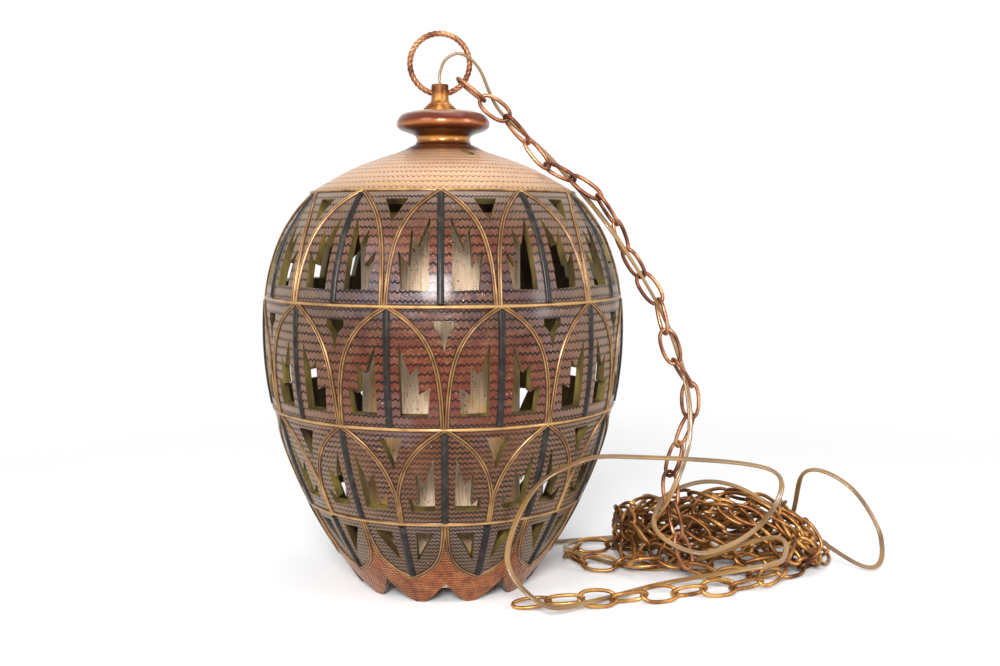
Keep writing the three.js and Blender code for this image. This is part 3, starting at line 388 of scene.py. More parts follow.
def cord_mesh(path):
    """Two round conductors side by side, so the section is where two circles meet. The cord leaves
    the nozzle edge on, then turns its flat side forward and up, and lies flat in its coil."""
    along = unit(np.gradient(path, axis=0))
    step = np.arange(len(path))
    to_coil = np.clip((step - len(cord_line) + 2 * CORD_STEPS) / (2 * CORD_STEPS), 0, 1)
    facing = np.stack([0 * to_coil, CORD_LEAN * (to_coil - 1), 1 + 0 * to_coil], -1)
    through = unit(facing - np.sum(facing * along, -1, keepdims=True) * along)
    across = np.cross(through, along)
    turned_over = np.clip((step - CORD_TURNS_FROM) / CORD_TURNS_OVER, 0, 1)[:, None]
    across = across * turned_over + np.array([0, 1.0, 0]) * (1 - turned_over)
    across = unit(across - np.sum(across * along, -1, keepdims=True) * along)
    through = np.cross(along, across)
    radius = CORD_THICKNESS / 2
    lobe = np.linspace(-LOBE_REACH, LOBE_REACH, LOBE_POINTS)
    right = np.stack([CORD_WIDTH / 2 - radius + radius * np.cos(lobe), radius * np.sin(lobe)], -1)
    return tube(path, across, through, np.concatenate([right, -right]))


cord = new_piece("flat_cord", *cord_mesh(cord_path), cord_vinyl, "cord_vinyl", sharp=75,
                 replaces=("cord", "cord_coil"))

# %% [markdown]
# The plug is a moulded grip that swells from the cord to a flat face, with two brass blades. Its
# section is a rounded rectangle whose width grows along the grip, so it is a loft of eight rows.

# %% Plug
# Places along the grip and its width there, as shares of its length and greatest width
GRIP_WIDTHS = (
    (0, 0.44), (0.06, 0.5), (0.2, 0.66), (0.36, 0.94), (0.5, 1), (0.86, 1), (0.97, 0.97), (1, 0.9))
GRIP_SIDES = 28
GRIP_POWER = 5
GRIP_THINNING = 0.25


def plug_mesh(low, high):
    """Superellipses along +Y, |x|^p + |z|^p = 1, as wide as the grip at that share of its length."""
    ring = round_section(1, GRIP_SIDES)
    corner = np.sign(ring) * np.abs(ring) ** (2 / GRIP_POWER)
    share, width = np.array(GRIP_WIDTHS).T
    size = np.array([high.x - low.x, high.z - low.z]) / 2
    thickness = 1 - GRIP_THINNING * (1 - width)
    section = corner * np.stack([-width * size[0], thickness * size[1]], -1)[:, None]
    middle = [(low.x + high.x) / 2, 0, (low.z + high.z) / 2]
    path = np.array(middle) + share[:, None] * [0, high.y - low.y, 0] + [0, low.y, 0]
    axes = np.broadcast_to(np.eye(3)[:, None], (3, len(path), 3))
    return tube(path, axes[0], axes[2], section)


plug = new_piece("plug_grip", *plug_mesh(plug_low, plug_high), plug_vinyl, "plug_vinyl",
                 replaces=("plug_body",), sharp=50)
print("plug", round(1000 * (plug_high.y - plug_low.y)), "mm long")

# %% [markdown]
# ## The ceramic body
# The real body is slip-cast and its windows are cut in the soft clay. The model already has the
# windows, as flat facets, so this copies its mesh, divides every edge in four and moves each point
# out to the smooth profile. The shading normals come from the same formula, not from the facets.

# %% Body profile
BODY_PROFILE = np.array([
    (0, 0.082), (0.029, 0.102), (0.07, 0.1253), (0.111, 0.144), (0.152, 0.1575), (0.199, 0.167),
    (0.248, 0.1698), (0.292, 0.166), (0.33, 0.1543), (0.356, 0.1395), (0.374, 0.1245),
    (0.386, 0.1055), (0.398, 0.0825), (0.408, 0.056), (0.414, 0.036), (0.417, 0.03), (0.42, 0.0265),
])
BODY_TOP = BODY_PROFILE[-1, 0]
SECTORS = 11
SECTOR = 360 / SECTORS
HALF_SECTOR = SECTOR / 2
WALL = 0.0075
HEM_WALL = 0.005
HEM_WALL_HEIGHT = 0.04
TIER_BASES = (0.086, 0.174, 0.277, 0.374)
TIER_TURNS = (0, HALF_SECTOR, -1)  # degrees from the front to each tier's first mullion
# Inside above the ceiling's start, and within the neck, the model's own flat faces are kept
CEILING_START = 0.38
NECK_START = 0.4045
NECK_RADIUS = 0.031


def body_radius(height):
    """Cubic through the profile, where each point's slope is the chord between its neighbours."""
    heights, radii = BODY_PROFILE.T
    last = len(heights) - 1
    before, after = np.clip(np.arange(last + 1) - 1, 0, last), np.clip(np.arange(last + 1) + 1, 0, last)
    slope = (radii[after] - radii[before]) / (heights[after] - heights[before])
    i = np.clip(np.searchsorted(heights, height) - 1, 0, last - 1)
    step = heights[i + 1] - heights[i]
    t = (height - heights[i]) / step
    return (radii[i] * (2 * t**3 - 3 * t**2 + 1) + slope[i] * step * (t**3 - 2 * t**2 + t)
            + radii[i + 1] * (3 * t**2 - 2 * t**3) + slope[i + 1] * step * (t**3 - t**2))


PROBE = 0.0005


def body_normal(height, level_hem=False):
    """The profile's normal as [outward, up]: (1, -slope), made a unit long. With level_hem it
    turns level towards the hem, as the wall's thickness does."""
    slope = (body_radius(height + PROBE) - body_radius(height - PROBE)) / (2 * PROBE)
    if level_hem:
        share = np.clip(height / HEM_WALL_HEIGHT, 0, 1)
        slope = slope * share * share * (3 - 2 * share)
    return unit(np.stack([np.ones_like(slope), -slope], -1))


def on_body(azimuth, height):
    """Points at an azimuth in degrees from the front and a height, and the wall's normals there."""
    angle = np.radians(azimuth)
    normal = body_normal(height)
    outward = np.stack([np.sin(angle), -np.cos(angle), 0 * angle], -1)
    normals = outward * normal[..., :1] + np.array([0, 0, 1.0]) * normal[..., 1:]
    place = outward * body_radius(height)[..., None]
    return place + np.stack([LAMP_X + 0 * angle, 0 * angle, height], -1), normals


print("body", round(2000 * body_radius(np.array([TIER_BASES[2]]))[0]), "mm wide at its third ring")

# %% [markdown]
# The glaze is a metallic lustre, brown and oxblood, fired over zigzag lines that were scored into
# the clay. Cut into the mesh, those lines would take millions of triangles, so they are a pattern
# in the material instead, dark and sunk by a bump. A noise's Scale counts its blotches to a
# metre: 14 makes them about 70 mm wide, 95 about 10 mm and 520 about 2 mm.

# %% Glaze
# Lines to a millimetre: below the lowest ring, on each of the three tiers, and on the crown
TIER_LINES = (0.238, 0.2, 0.135, 0.125, 0.111)
HEM_LINES = 320  # lines to a metre
LINE_CORE = 0.0005
LINE_EDGE = 0.0011
LINE_WOBBLE = 0.0022
WAVES_ROUND = 230
CROWN_WAVES = 140
WAVE_HEIGHT = 0.0019
CROWN_WAVE_HEIGHT = 0.0034
HEM_ARCH_FOOT = 0.029
HEM_ARCH_SPREAD = 15.9
HEM_ARCH_RISE = 0.0115
FILM_SHEEN_SPACING = 0.1
FILM_SHEEN_SHIFT = 0.26


def lustre_glaze():
    """Brown and oxblood, with a greyish lustre film along the tier rings that is partly a painted lilac
    reflection of the light, and a painted beige sheen where the eye grazes the body. On the crown
    the lines are broken into one short dash at the foot of each wave."""
    material, tree, place = new_material("lustre_glaze")
    centred = add(tree, "Mapping", {"Vector": place, "Location": (-LAMP_X, 0, 0)})
    x, y, z = add(tree, "SeparateXYZ", {0: centred}, None)
    climb = add(tree, "Attribute", out="Fac", attribute_name="climb")
    front = add(tree, "Math", {0: y, 1: -1.0}, operation="MULTIPLY")
    azimuth = add(tree, "Math", {0: x, 1: front}, operation="ARCTAN2")

    # The scallops' zone is below the hem's arches, where (0.5 - u) * sector > spread * (1 - e^h),
    # u runs from 0 to 0.5 over half a sector, and h is (arch's foot - height) / rise
    sectors = add(tree, "Math", {0: azimuth, 1: SECTORS / (2 * math.pi)}, operation="MULTIPLY")
    u = add(tree, "Math", {0: sectors, 1: 0.5}, operation="PINGPONG")
    from_mullion = add(tree, "Math", {0: u, 1: -SECTOR, 2: HALF_SECTOR}, operation="MULTIPLY_ADD")
    h = add(tree, "Math", {
        0: z, 1: -1 / HEM_ARCH_RISE, 2: HEM_ARCH_FOOT / HEM_ARCH_RISE}, operation="MULTIPLY_ADD")
    decay = add(tree, "Math", {0: h}, operation="EXPONENT")
    spread = add(tree, "Math", {
        0: decay, 1: -HEM_ARCH_SPREAD, 2: HEM_ARCH_SPREAD}, operation="MULTIPLY_ADD")
    beyond = add(tree, "Math", {0: from_mullion, 1: spread}, operation="GREATER_THAN")
    low = add(tree, "Math", {0: z, 1: TIER_BASES[0]}, operation="LESS_THAN")
    scallops = add(tree, "Math", {0: beyond, 1: low}, operation="MULTIPLY")

    # Zigzags are rows of lines, climb * lines to a metre, shifted up and down by a triangle wave
    level = add(tree, "MapRange", {"Value": z, "From Max": BODY_TOP})
    on_crown = add(tree, "Math", {0: z, 1: TIER_BASES[3]}, operation="GREATER_THAN")
    count = add(tree, "Mix", {0: on_crown, 2: WAVES_ROUND / (2 * math.pi), 3: CROWN_WAVES / (2 * math.pi)})
    size = add(tree, "Mix", {0: on_crown, 2: 2 * WAVE_HEIGHT, 3: 2 * CROWN_WAVE_HEIGHT})
    waves = add(tree, "Math", {0: azimuth, 1: count}, operation="MULTIPLY")
    triangle = add(tree, "Math", {0: waves, 1: 0.5}, operation="PINGPONG")
    wander = add(tree, "TexNoise", {"Vector": place, "Scale": 55.0, "Detail": 2.0})
    wobble = add(tree, "Math", {0: wander, 1: LINE_WOBBLE, 2: climb}, operation="MULTIPLY_ADD")
    shifted = add(tree, "Math", {0: triangle, 1: size, 2: wobble}, operation="MULTIPLY_ADD")
    steps = [base / BODY_TOP for base in (0, *TIER_BASES)]
    tier_lines = add(tree, "ValToRGB", {"Fac": level}, stops=list(zip(steps, TIER_LINES)))
    tier_lines.node.color_ramp.interpolation = "CONSTANT"
    tier_count = add(tree, "Math", {0: tier_lines, 1: 1000.0}, operation="MULTIPLY")
    to_a_metre = add(tree, "Mix", {0: scallops, 2: tier_count, 3: HEM_LINES})
    rows = add(tree, "Math", {0: shifted, 1: to_a_metre}, operation="MULTIPLY")
    share = add(tree, "Math", {0: rows, 1: 0.5}, operation="PINGPONG")
    from_line = add(tree, "Math", {0: share, 1: to_a_metre}, operation="DIVIDE")
    groove = add(tree, "MapRange", {
        "Value": from_line, "From Min": LINE_CORE, "From Max": LINE_EDGE, "To Min": 1.0, "To Max": 0.0,
    }, interpolation_type="SMOOTHSTEP")
    fade = add(tree, "TexNoise", {"Vector": place, "Scale": 26.0, "Detail": 4.0})
    strength = add(tree, "MapRange", {
        "Value": fade, "From Min": 0.34, "From Max": 0.58, "To Min": 0.6, "To Max": 1.0})
    dashes = add(tree, "MapRange", {
        "Value": triangle, "From Min": 0.08, "From Max": 0.36, "To Min": 0.3, "To Max": 1.0})
    broken = add(tree, "Mix", {0: on_crown, 2: strength, 3: dashes})
    line = add(tree, "Math", {0: groove, 1: broken}, operation="MULTIPLY")

    drift = add(tree, "TexNoise", {"Vector": place, "Scale": 14.0, "Detail": 5.0, "Roughness": 0.6})
    uneven = add(tree, "Math", {0: drift, 1: 0.1, 2: -0.05}, operation="MULTIPLY_ADD")
    zone = add(tree, "Math", {0: level, 1: uneven}, operation="ADD")
    bands = add(tree, "ValToRGB", {"Fac": zone}, stops=[
        (0.14, "#4c311f"), (0.24, "#502b14"), (0.38, "#573016"), (0.47, "#5a2010"), (0.57, "#532412"),
        (0.65, "#43302c"), (0.7, "#44363a"), (0.78, "#572b1c"), (0.85, "#4e342a"), (0.9, "#786860")])
    crown = add(tree, "MapRange", {"Value": z, "From Min": TIER_BASES[3], "From Max": BODY_TOP})
    crown_colour = add(tree, "ValToRGB", {"Fac": crown}, stops=[
        (0.0, "#b38c62"), (0.3, "#c8a180"), (0.6, "#c69e7e"), (0.82, "#b38a68"), (0.89, "#5a2a18"),
        (1.0, "#4a1f12")])
    mottle = add(tree, "TexNoise", {"Vector": place, "Scale": 95.0, "Detail": 6.0, "Roughness": 0.7})
    copper_mix = add(tree, "MapRange", {"Value": mottle, "From Min": 0.45, "From Max": 0.7, "To Max": 0.7})
    warmed = add(tree, "Mix", {0: copper_mix, 6: bands, 7: "#6f4a30"}, 2, data_type="RGBA")
    # Painted reflection: a greyish lilac film along each tier ring, partly the lustre's own film and partly
    # a painted highlight of the light
    tier = add(tree, "Math", {0: z, 1: 1 / FILM_SHEEN_SPACING, 2: FILM_SHEEN_SHIFT}, operation="MULTIPLY_ADD")
    tier_edge = add(tree, "Math", {0: tier, 1: 0.5}, operation="PINGPONG")
    film_sheen_noise = add(tree, "TexNoise", {"Vector": place, "Scale": 17.0, "Detail": 4.0})
    film_sheen_place = add(tree, "Math", {0: tier_edge, 1: -0.5, 2: film_sheen_noise}, operation="MULTIPLY_ADD")
    film_and_sheen = add(tree, "MapRange", {"Value": film_sheen_place, "From Min": 0.44, "From Max": 0.62, "To Max": 0.45})
    filmed_and_sheened = add(tree, "Mix", {0: film_and_sheen, 6: warmed, 7: "#665e64"}, 2, data_type="RGBA")
    # Painted sheen: greyish beige where the eye grazes the glaze, in place of the studio's white reflection
    glance = add(tree, "LayerWeight", {"Blend": 0.5}, "Facing")
    painted_grazing_sheen = add(tree, "MapRange", {"Value": glance, "From Min": 0.12, "From Max": 0.62, "To Max": 0.75})
    with_grazing_sheen = add(tree, "Mix", {0: painted_grazing_sheen, 6: filmed_and_sheened, 7: "#8d7660"}, 2, data_type="RGBA")
    body_colour = add(tree, "Mix", {0: on_crown, 6: with_grazing_sheen, 7: crown_colour}, 2, data_type="RGBA")
    # Painted glints: scattered white specks in the glaze colour, in place of glints of light
    glint_noise = add(tree, "TexNoise", {"Vector": place, "Scale": 380.0, "Detail": 1.0})
    painted_glints = add(tree, "MapRange", {"Value": glint_noise, "From Min": 0.775, "From Max": 0.81, "To Max": 0.7})
    spotted = add(tree, "Mix", {0: painted_glints, 6: body_colour, 7: "#e6d6bc"}, 2, data_type="RGBA")
    scallop_colour = add(tree, "ValToRGB", {"Fac": mottle}, stops=[
        (0.35, "#8a4520"), (0.52, "#bd6c38"), (0.75, "#dc9a5c")])
    glazed = add(tree, "Mix", {0: scallops, 6: spotted, 7: scallop_colour}, 2, data_type="RGBA")
    ink_colour = add(tree, "Mix", {0: on_crown, 6: "#0b0708", 7: "#7c5036"}, 2, data_type="RGBA")
    colour = add(tree, "Mix", {0: line, 6: glazed, 7: ink_colour}, 2, data_type="RGBA")

    stipple = add(tree, "TexNoise", {"Vector": place, "Scale": 520.0, "Detail": 2.0})
    relief = add(tree, "Math", {0: stipple, 1: 0.8, 2: 0.2}, operation="MULTIPLY_ADD")
    height = add(tree, "Math", {0: relief, 1: line}, operation="SUBTRACT")
    gloss = add(tree, "MapRange", {
        "Value": fade, "From Min": 0.3, "From Max": 0.7, "To Min": 0.5, "To Max": 0.3})
    surface(tree, height, 0.0009, Base_Color=colour, Roughness=gloss, Metallic=0.45,
            Specular_IOR_Level=0.12, Coat_Weight=0.32, Coat_Roughness=0.16)
    return material


# %% Raw, gilt and slate glazes


def raw_glaze():
    """Unrubbed olive glaze inside the windows: satin, with brown streaks where it is thin."""
    return grained("olive_glaze", 60.0, [
        (0.32, "#2c1c10"), (0.44, "#45381e"), (0.56, "#5c4f28"), (0.68, "#74632e"), (0.8, "#6e4526"),
    ], 0.0008, upright=0.35, Roughness=0.4, Specular_IOR_Level=0.35)


def gilt_glaze():
    """Gold lustre on raised lines, brightest on the crests, partly as a painted highlight, and near black at
    their foot and dark in the arch lines' channel, as painted shade.
    """
    material, tree, place = new_material("gilt_lustre")
    gilt_and_light = add(tree, "Attribute", out="Fac", attribute_name="gilt_and_light")
    rubbed = add(tree, "TexNoise", {"Vector": place, "Scale": 70.0, "Detail": 5.0})
    worn = add(tree, "Math", {0: rubbed, 1: 0.9, 2: -0.45}, operation="MULTIPLY_ADD")
    gilt_and_light_share = add(tree, "Math", {0: gilt_and_light, 1: worn}, operation="ADD")
    colour = add(tree, "ValToRGB", {"Fac": gilt_and_light_share}, stops=[
        (0.08, "#24110a"), (0.4, "#4c2c12"), (0.7, "#714d27"), (1.05, "#a5814f")])
    surface(tree, rubbed, 0.0003, Base_Color=colour, Roughness=0.34, Metallic=0.4,
            Specular_IOR_Level=0.35, Coat_Weight=0.1)
    return material


def slate_glaze():
    """The strips up the arches' middles carry a brown-black glaze with a soft sheen."""
    return grained("slate_glaze", 120.0, [(0.35, "#0e0b0a"), (0.55, "#1c1816"), (0.75, "#373027")],
                   0.0003, Roughness=0.36, Specular_IOR_Level=0.25)


lustre, raw, gilt, slate = lustre_glaze(), raw_glaze(), gilt_glaze(), slate_glaze()
print("glazes", lustre.name, raw.name, gilt.name, slate.name)

# %% Smooth shell
EDGE_CUTS = 3
MERGE_DISTANCE = 2e-5
HEIGHT_PASSES = 4  # h depends on itself, so it is worked out again this often
PROFILE_STEPS = 600
TINY = 1e-6  # keeps a point on the axis from being divided by zero


def smooth_shell(source):
    """Points go to radius R(h) - t * n_r, where h = z + t * n_z and t is 0 outside and the wall's
    thickness inside. The flat ceiling and the neck, which the finial hides, keep their places."""
    form = bmesh.new()
    form.from_mesh(source.data)
    bmesh.ops.remove_doubles(form, verts=form.verts, dist=MERGE_DISTANCE)
    mesh = bpy.data.meshes.new("ceramic_body")
    form.to_mesh(mesh)
    place = np.empty(len(mesh.vertices) * 3)
    mesh.vertices.foreach_get("co", place)
    place = place.reshape(-1, 3) - [LAMP_X, 0, 0]
    radius, height = np.hypot(place[:, 0], place[:, 1]), place[:, 2]
    depth = (body_radius(height) - radius) * body_normal(height)[:, 0] > WALL / 2
    kept = ((height > NECK_START) & (radius < NECK_RADIUS)) | (depth & (height > CEILING_START))
    for name, values in (("depth", depth), ("snap", ~kept)):
        mesh.attributes.new(name, "FLOAT", "POINT").data.foreach_set("value", values.astype(np.float32))
    form.clear()
    form.from_mesh(mesh)
    bmesh.ops.subdivide_edges(form, edges=form.edges, cuts=EDGE_CUTS, use_grid_fill=True)
    form.to_mesh(mesh)
    form.free()

    count = len(mesh.vertices)
    place, depth, snap = np.empty(count * 3), np.empty(count, np.float32), np.empty(count, np.float32)
    mesh.vertices.foreach_get("co", place)
    mesh.attributes["depth"].data.foreach_get("value", depth)
    mesh.attributes["snap"].data.foreach_get("value", snap)
    place = place.reshape(-1, 3) - [LAMP_X, 0, 0]
    radius, z = np.hypot(place[:, 0], place[:, 1]), place[:, 2]
    height = z.copy()
    for _ in range(HEIGHT_PASSES):
        inset = depth * (HEM_WALL + (WALL - HEM_WALL) * np.clip(height / HEM_WALL_HEIGHT, 0, 1))
        height = z + inset * body_normal(height, True)[:, 1]
    smooth = body_radius(height) - inset * body_normal(height, True)[:, 0]
    scale = 1 + snap * (smooth / np.maximum(radius, TINY) - 1)
    place[:, :2] *= scale[:, None]
    mesh.vertices.foreach_set("co", (place + [LAMP_X, 0, 0]).ravel())
    mesh.update()

    steps = np.linspace(0, BODY_TOP, PROFILE_STEPS)
    lengths = np.cumsum(np.hypot(np.gradient(steps), np.gradient(body_radius(steps))))
    climb = np.interp(height, steps, lengths).astype(np.float32)
    mesh.attributes.new("climb", "FLOAT", "POINT").data.foreach_set("value", climb)

    faces = len(mesh.polygons)
    corners, starts, totals = (np.empty(n, np.int32) for n in (len(mesh.loops), faces, faces))
    face_normals = np.empty(faces * 3)
    mesh.loops.foreach_get("vertex_index", corners)
    mesh.polygons.foreach_get("loop_start", starts)
    mesh.polygons.foreach_get("loop_total", totals)
    mesh.polygons.foreach_get("normal", face_normals)
    face_depth = np.add.reduceat(depth[corners], starts) / totals
    outside, inside = face_depth < 0.01, face_depth > 0.99
    mesh.polygons.foreach_set("material_index", (~outside).astype(np.int32))
    of_loop = np.repeat(np.arange(faces), totals)
    profile_normal = body_normal(height)
    outward = place * [1, 1, 0] / np.maximum(np.hypot(place[:, 0], place[:, 1]), TINY)[:, None]
    curved = outward * profile_normal[:, :1] + np.array([0, 0, 1.0]) * profile_normal[:, 1:]
    normals = face_normals.reshape(-1, 3)[of_loop]
    smooth_loop = (snap[corners] > 0.99) & (outside | inside)[of_loop]
    facing = np.where(outside, 1.0, -1.0)[of_loop]
    normals[smooth_loop] = (curved[corners] * facing[:, None])[smooth_loop]
    mesh.shade_smooth()
    mesh.normals_split_custom_set(normals.tolist())
    mesh.attributes.remove(mesh.attributes["depth"])
    mesh.attributes.remove(mesh.attributes["snap"])
    return mesh


shell_mesh = smooth_shell(nodes["ceramic_shell"])
shell_mesh.materials.append(lustre)
shell_mesh.materials.append(raw)
body = bpy.data.objects.new("ceramic_body", shell_mesh)
scene.collection.objects.link(body)
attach(body, "lamp")
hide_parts("ceramic_shell")
print("body", len(shell_mesh.polygons), "faces")

# %% [markdown]
# Raised lines are trailed over the body: a ring at each tier, and pointed arches whose two sides
# come down beside their neighbours. Each is a small bead swept along a line on the wall. A side
# of an arch runs away from its mullion as 1 - e^(-depth / curve), steep at first and then upright.

# %% Trailed lines
RING_BEAD = np.array([
    (-2.3, -0.4), (2.3, -0.4), (2.2, 0.3), (1.2, 0.8), (0.6, 1.5), (-0.6, 1.5), (-1.2, 0.8), (-2.2, 0.3),
]) / 1000
# Gold and painted light at each point of the ring's outline: bright on the crest, partly a painted
# highlight, and dark at the foot as painted shade
RING_GILT_AND_LIGHT = (0, 0, 0.15, 0.7, 1, 1, 0.7, 0.15)
# An arch's line is two fine ridges with a shallow channel between them
ARCH_BEAD = np.array([
    (-2.5, -0.4), (2.5, -0.4), (2.3, 0.3), (1.7, 0.9), (1.15, 1.5), (0.4, 1.0), (-0.4, 1.0), (-1.15, 1.5),
    (-1.7, 0.9), (-2.3, 0.3),
]) / 1000
# The same for an arch's line, dark also in its channel as painted shade
ARCH_GILT_AND_LIGHT = (0, 0, 0.1, 0.6, 1, 0.35, 0.35, 1, 0.6, 0.1)
STRIP_WIDTH = 0.0062
STRIP_RISE = 0.0021
STRIP_SINK = 0.0004
STRIP_TOP_GAP = 0.003
STRIP_FOOT_GAP = 0.0025
RING_STEPS = 180
ARCH_STEPS = 30
HEM_ARCH_STEPS = 24
STRIP_STEPS = 16
STRIP_ARC_POINTS = 9
CROWDING = 1.5  # crowds a side's points towards the end where it meets the other side
# Each tier's arch: how far its sides spread in degrees, the depth that sets its curve, and the
# depth where the spread is reached
ARCHES = ((16.1, 0.03, 0.062), (15.75, 0.0245, 0.103), (15.7, 0.02, 0.097))


def bead_along(azimuth, height, section, ring=False):
    """Sweeps a bead's outline of [sideways, rise] points along a line on the body."""
    path, normals = on_body(azimuth, height)
    ahead = np.roll(path, -1, 0) - np.roll(path, 1, 0) if ring else np.gradient(path, axis=0)
    along = unit(ahead - np.sum(ahead * normals, -1, keepdims=True) * normals)
    return tube(path, np.cross(normals, along), normals, section, ring)


def arch_side(top, base, turn, side, spread, curve, reach):
    """One side of an arch: a = spread * (1 - e^(-d / curve)) / (1 - e^(-reach / curve)) degrees
    from the mullion at d below the tier's top."""
    depth = (top - base) * np.linspace(0, 1, ARCH_STEPS) ** CROWDING
    away = spread * (1 - np.exp(-np.minimum(depth, reach) / curve)) / (1 - math.exp(-reach / curve))
    return turn + side * away, top - depth


once_round = np.linspace(0, 360, RING_STEPS, endpoint=False)
rings = [bead_along(once_round, np.full(RING_STEPS, base), RING_BEAD, True) for base in TIER_BASES]
sides = []
for base, top, turn, arch in zip(TIER_BASES, TIER_BASES[1:], TIER_TURNS, ARCHES):
    for sector in range(SECTORS):
        for side in (-1, 1):
            line = arch_side(top, base, turn + sector * SECTOR, side, *arch)
            sides.append(bead_along(*line, ARCH_BEAD))
for sector in range(SECTORS):
    for side in (-1, 1):
        rise = (TIER_BASES[0] - HEM_ARCH_FOOT) * np.linspace(0, 1, HEM_ARCH_STEPS) ** CROWDING
        away = HEM_ARCH_SPREAD * (1 - np.exp(-rise / HEM_ARCH_RISE))
        sides.append(bead_along((sector + 0.5) * SECTOR + side * away, HEM_ARCH_FOOT + rise, ARCH_BEAD))


def gilded(name, parts, gilt_and_light_share):
    """A piece of trailed lines whose attribute says how much gold each point carries, with painted highlight
    on the crests and painted shade at the foot.
    """
    points, faces = together(parts)
    piece = new_piece(name, points, faces, gilt, "lustre_glaze", sharp=80)
    gilt_and_light = np.tile(gilt_and_light_share, len(points) // len(gilt_and_light_share)).astype(np.float32)
    piece.data.attributes.new("gilt_and_light", "FLOAT", "POINT").data.foreach_set("value", gilt_and_light)


gilded("tier_rings", rings, RING_GILT_AND_LIGHT)
gilded("arch_lines", sides, ARCH_GILT_AND_LIGHT)
half_round = np.linspace(0, np.pi, STRIP_ARC_POINTS)
STRIP = np.concatenate([
    np.stack([STRIP_WIDTH / 2 * np.cos(half_round), STRIP_RISE * np.sin(half_round)], -1),
    [(-STRIP_WIDTH / 2, -STRIP_SINK), (STRIP_WIDTH / 2, -STRIP_SINK)]])
strip_levels = (HEM_ARCH_FOOT, *TIER_BASES)
strips = []
for base, top, turn in zip(strip_levels, TIER_BASES, (HALF_SECTOR, *TIER_TURNS)):
    height = np.linspace(top - STRIP_TOP_GAP, base + STRIP_FOOT_GAP, STRIP_STEPS)
    for sector in range(SECTORS):
        strips.append(bead_along(np.full(STRIP_STEPS, turn + sector * SECTOR), height, STRIP))
new_piece("mullion_strips", *together(strips), slate, "lustre_glaze", sharp=60)
print("lines", len(rings), "rings,", len(sides), "arch sides,", len(strips), "strips")

# %% [markdown]
# ## Finial, nozzle and ring
# The finial is thrown on a wheel: a bead under a wide disc, in oxblood glaze with gold on the bead,
# partly a painted highlight, painted shade under the disc, and painted highlights on its widest
# edge and top rim. The nozzle is turned brass with a rounded lip, cross-drilled for the ring. The
# ring is three copper wires laid round each other and bent into a circle.

# %% Turned glaze and metals
FINIAL_PROFILE = np.array([
    (0.0264, 0), (0.0254, 0.0022), (0.0252, 0.0045), (0.026, 0.0068), (0.0284, 0.0088), (0.0332, 0.0107),
    (0.039, 0.0127), (0.0428, 0.0152), (0.044, 0.0185), (0.043, 0.0225), (0.0385, 0.0276), (0.03, 0.0302),
])
NOZZLE_PROFILE = np.array([
    (0.017, 0), (0.017, 0.0012), (0.0153, 0.0018), (0.0155, 0.0032), (0.0134, 0.0038),
    (0.0136, 0.0051), (0.0113, 0.0059), (0.0114, 0.007), (0.0095, 0.0082), (0.0083, 0.011),
    (0.0081, 0.0242), (0.0079, 0.0252), (0.0074, 0.0254),
])
finial_low, finial_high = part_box("finial_spool")
nozzle_low, nozzle_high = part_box("nozzle")
TUBE_X = (nozzle_low.x + nozzle_high.x) / 2  # the fittings stand a little off the body's axis
CAST_HOLE_RADIUS = 0.0082
NOZZLE_BORE = 0.0064
NOZZLE_BORE_DEPTH = 0.0158
TUBE_HOLE_RADIUS = 0.0053
RING_RADIUS = 0.0282
RING_WIRE = 0.0031
RING_Y = 0.0019
CROSS_HOLE_RADIUS = 0.0044
CROSS_HOLE_RISE = 0.0007
ring_low, ring_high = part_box("hanging_ring")
ring_centre = np.array([TUBE_X, RING_Y, (ring_low.z + ring_high.z) / 2])


def oxblood_glaze():
    """Glossy iron-red glaze with gold on the bead, partly a painted highlight. By height it also
    carries painted shade under the disc and painted highlights on the disc's widest edge and top rim.
    """
    material, tree, place = new_material("oxblood_glaze")
    level = add(tree, "SeparateXYZ", {"Vector": place}, 2)
    share = add(tree, "MapRange", {"Value": level, "From Min": finial_low.z, "From Max": finial_high.z})
    stretched = add(tree, "Mapping", {"Vector": place, "Scale": (1, 1, 3)})
    noise = add(tree, "TexNoise", {"Vector": stretched, "Scale": 60.0, "Detail": 5.0})
    moved = add(tree, "Math", {0: noise, 1: 0.12, 2: share}, operation="MULTIPLY_ADD")
    # By height: gold at the bead, partly a painted highlight; painted shade under the disc; painted
    # highlights at the widest edge and the top rim
    colour = add(tree, "ValToRGB", {"Fac": moved}, stops=[
        (0.06, "#4a1c0e"), (0.14, "#7d4a1a"), (0.22, "#b98238"), (0.3, "#6a3312"), (0.4, "#421c0c"),
        (0.58, "#5a2810"), (0.65, "#a0602c"), (0.76, "#5e1e0c"), (0.92, "#5a2412"), (1.02, "#a07a5c")])
    surface(tree, noise, 0.0005, Base_Color=colour, Roughness=0.28, Metallic=0.35,
            Specular_IOR_Level=0.35, Coat_Weight=0.2, Coat_Roughness=0.08)
    return material


def patinated(name, dark, middle, light, shine):
    """Copper or brass wire with a brown skin: metal, half polished, in streaks and specks."""
    material, tree, place = new_material(name)
    patches = add(tree, "TexNoise", {"Vector": place, "Scale": 42.0, "Detail": 5.0})
    specks = add(tree, "TexNoise", {"Vector": place, "Scale": 420.0, "Detail": 3.0})
    blend = add(tree, "Math", {0: specks, 1: 0.15, 2: patches}, operation="MULTIPLY_ADD")
    colour = add(tree, "ValToRGB", {"Fac": blend}, stops=[
        (0.44, dark), (0.57, middle), (0.72, light)])
    gloss = add(tree, "MapRange", {
        "Value": blend, "From Min": 0.4, "From Max": 0.75, "To Min": shine + 0.16, "To Max": shine})
    surface(tree, specks, 0.0002, Base_Color=colour, Roughness=gloss, Metallic=0.8)
    return material


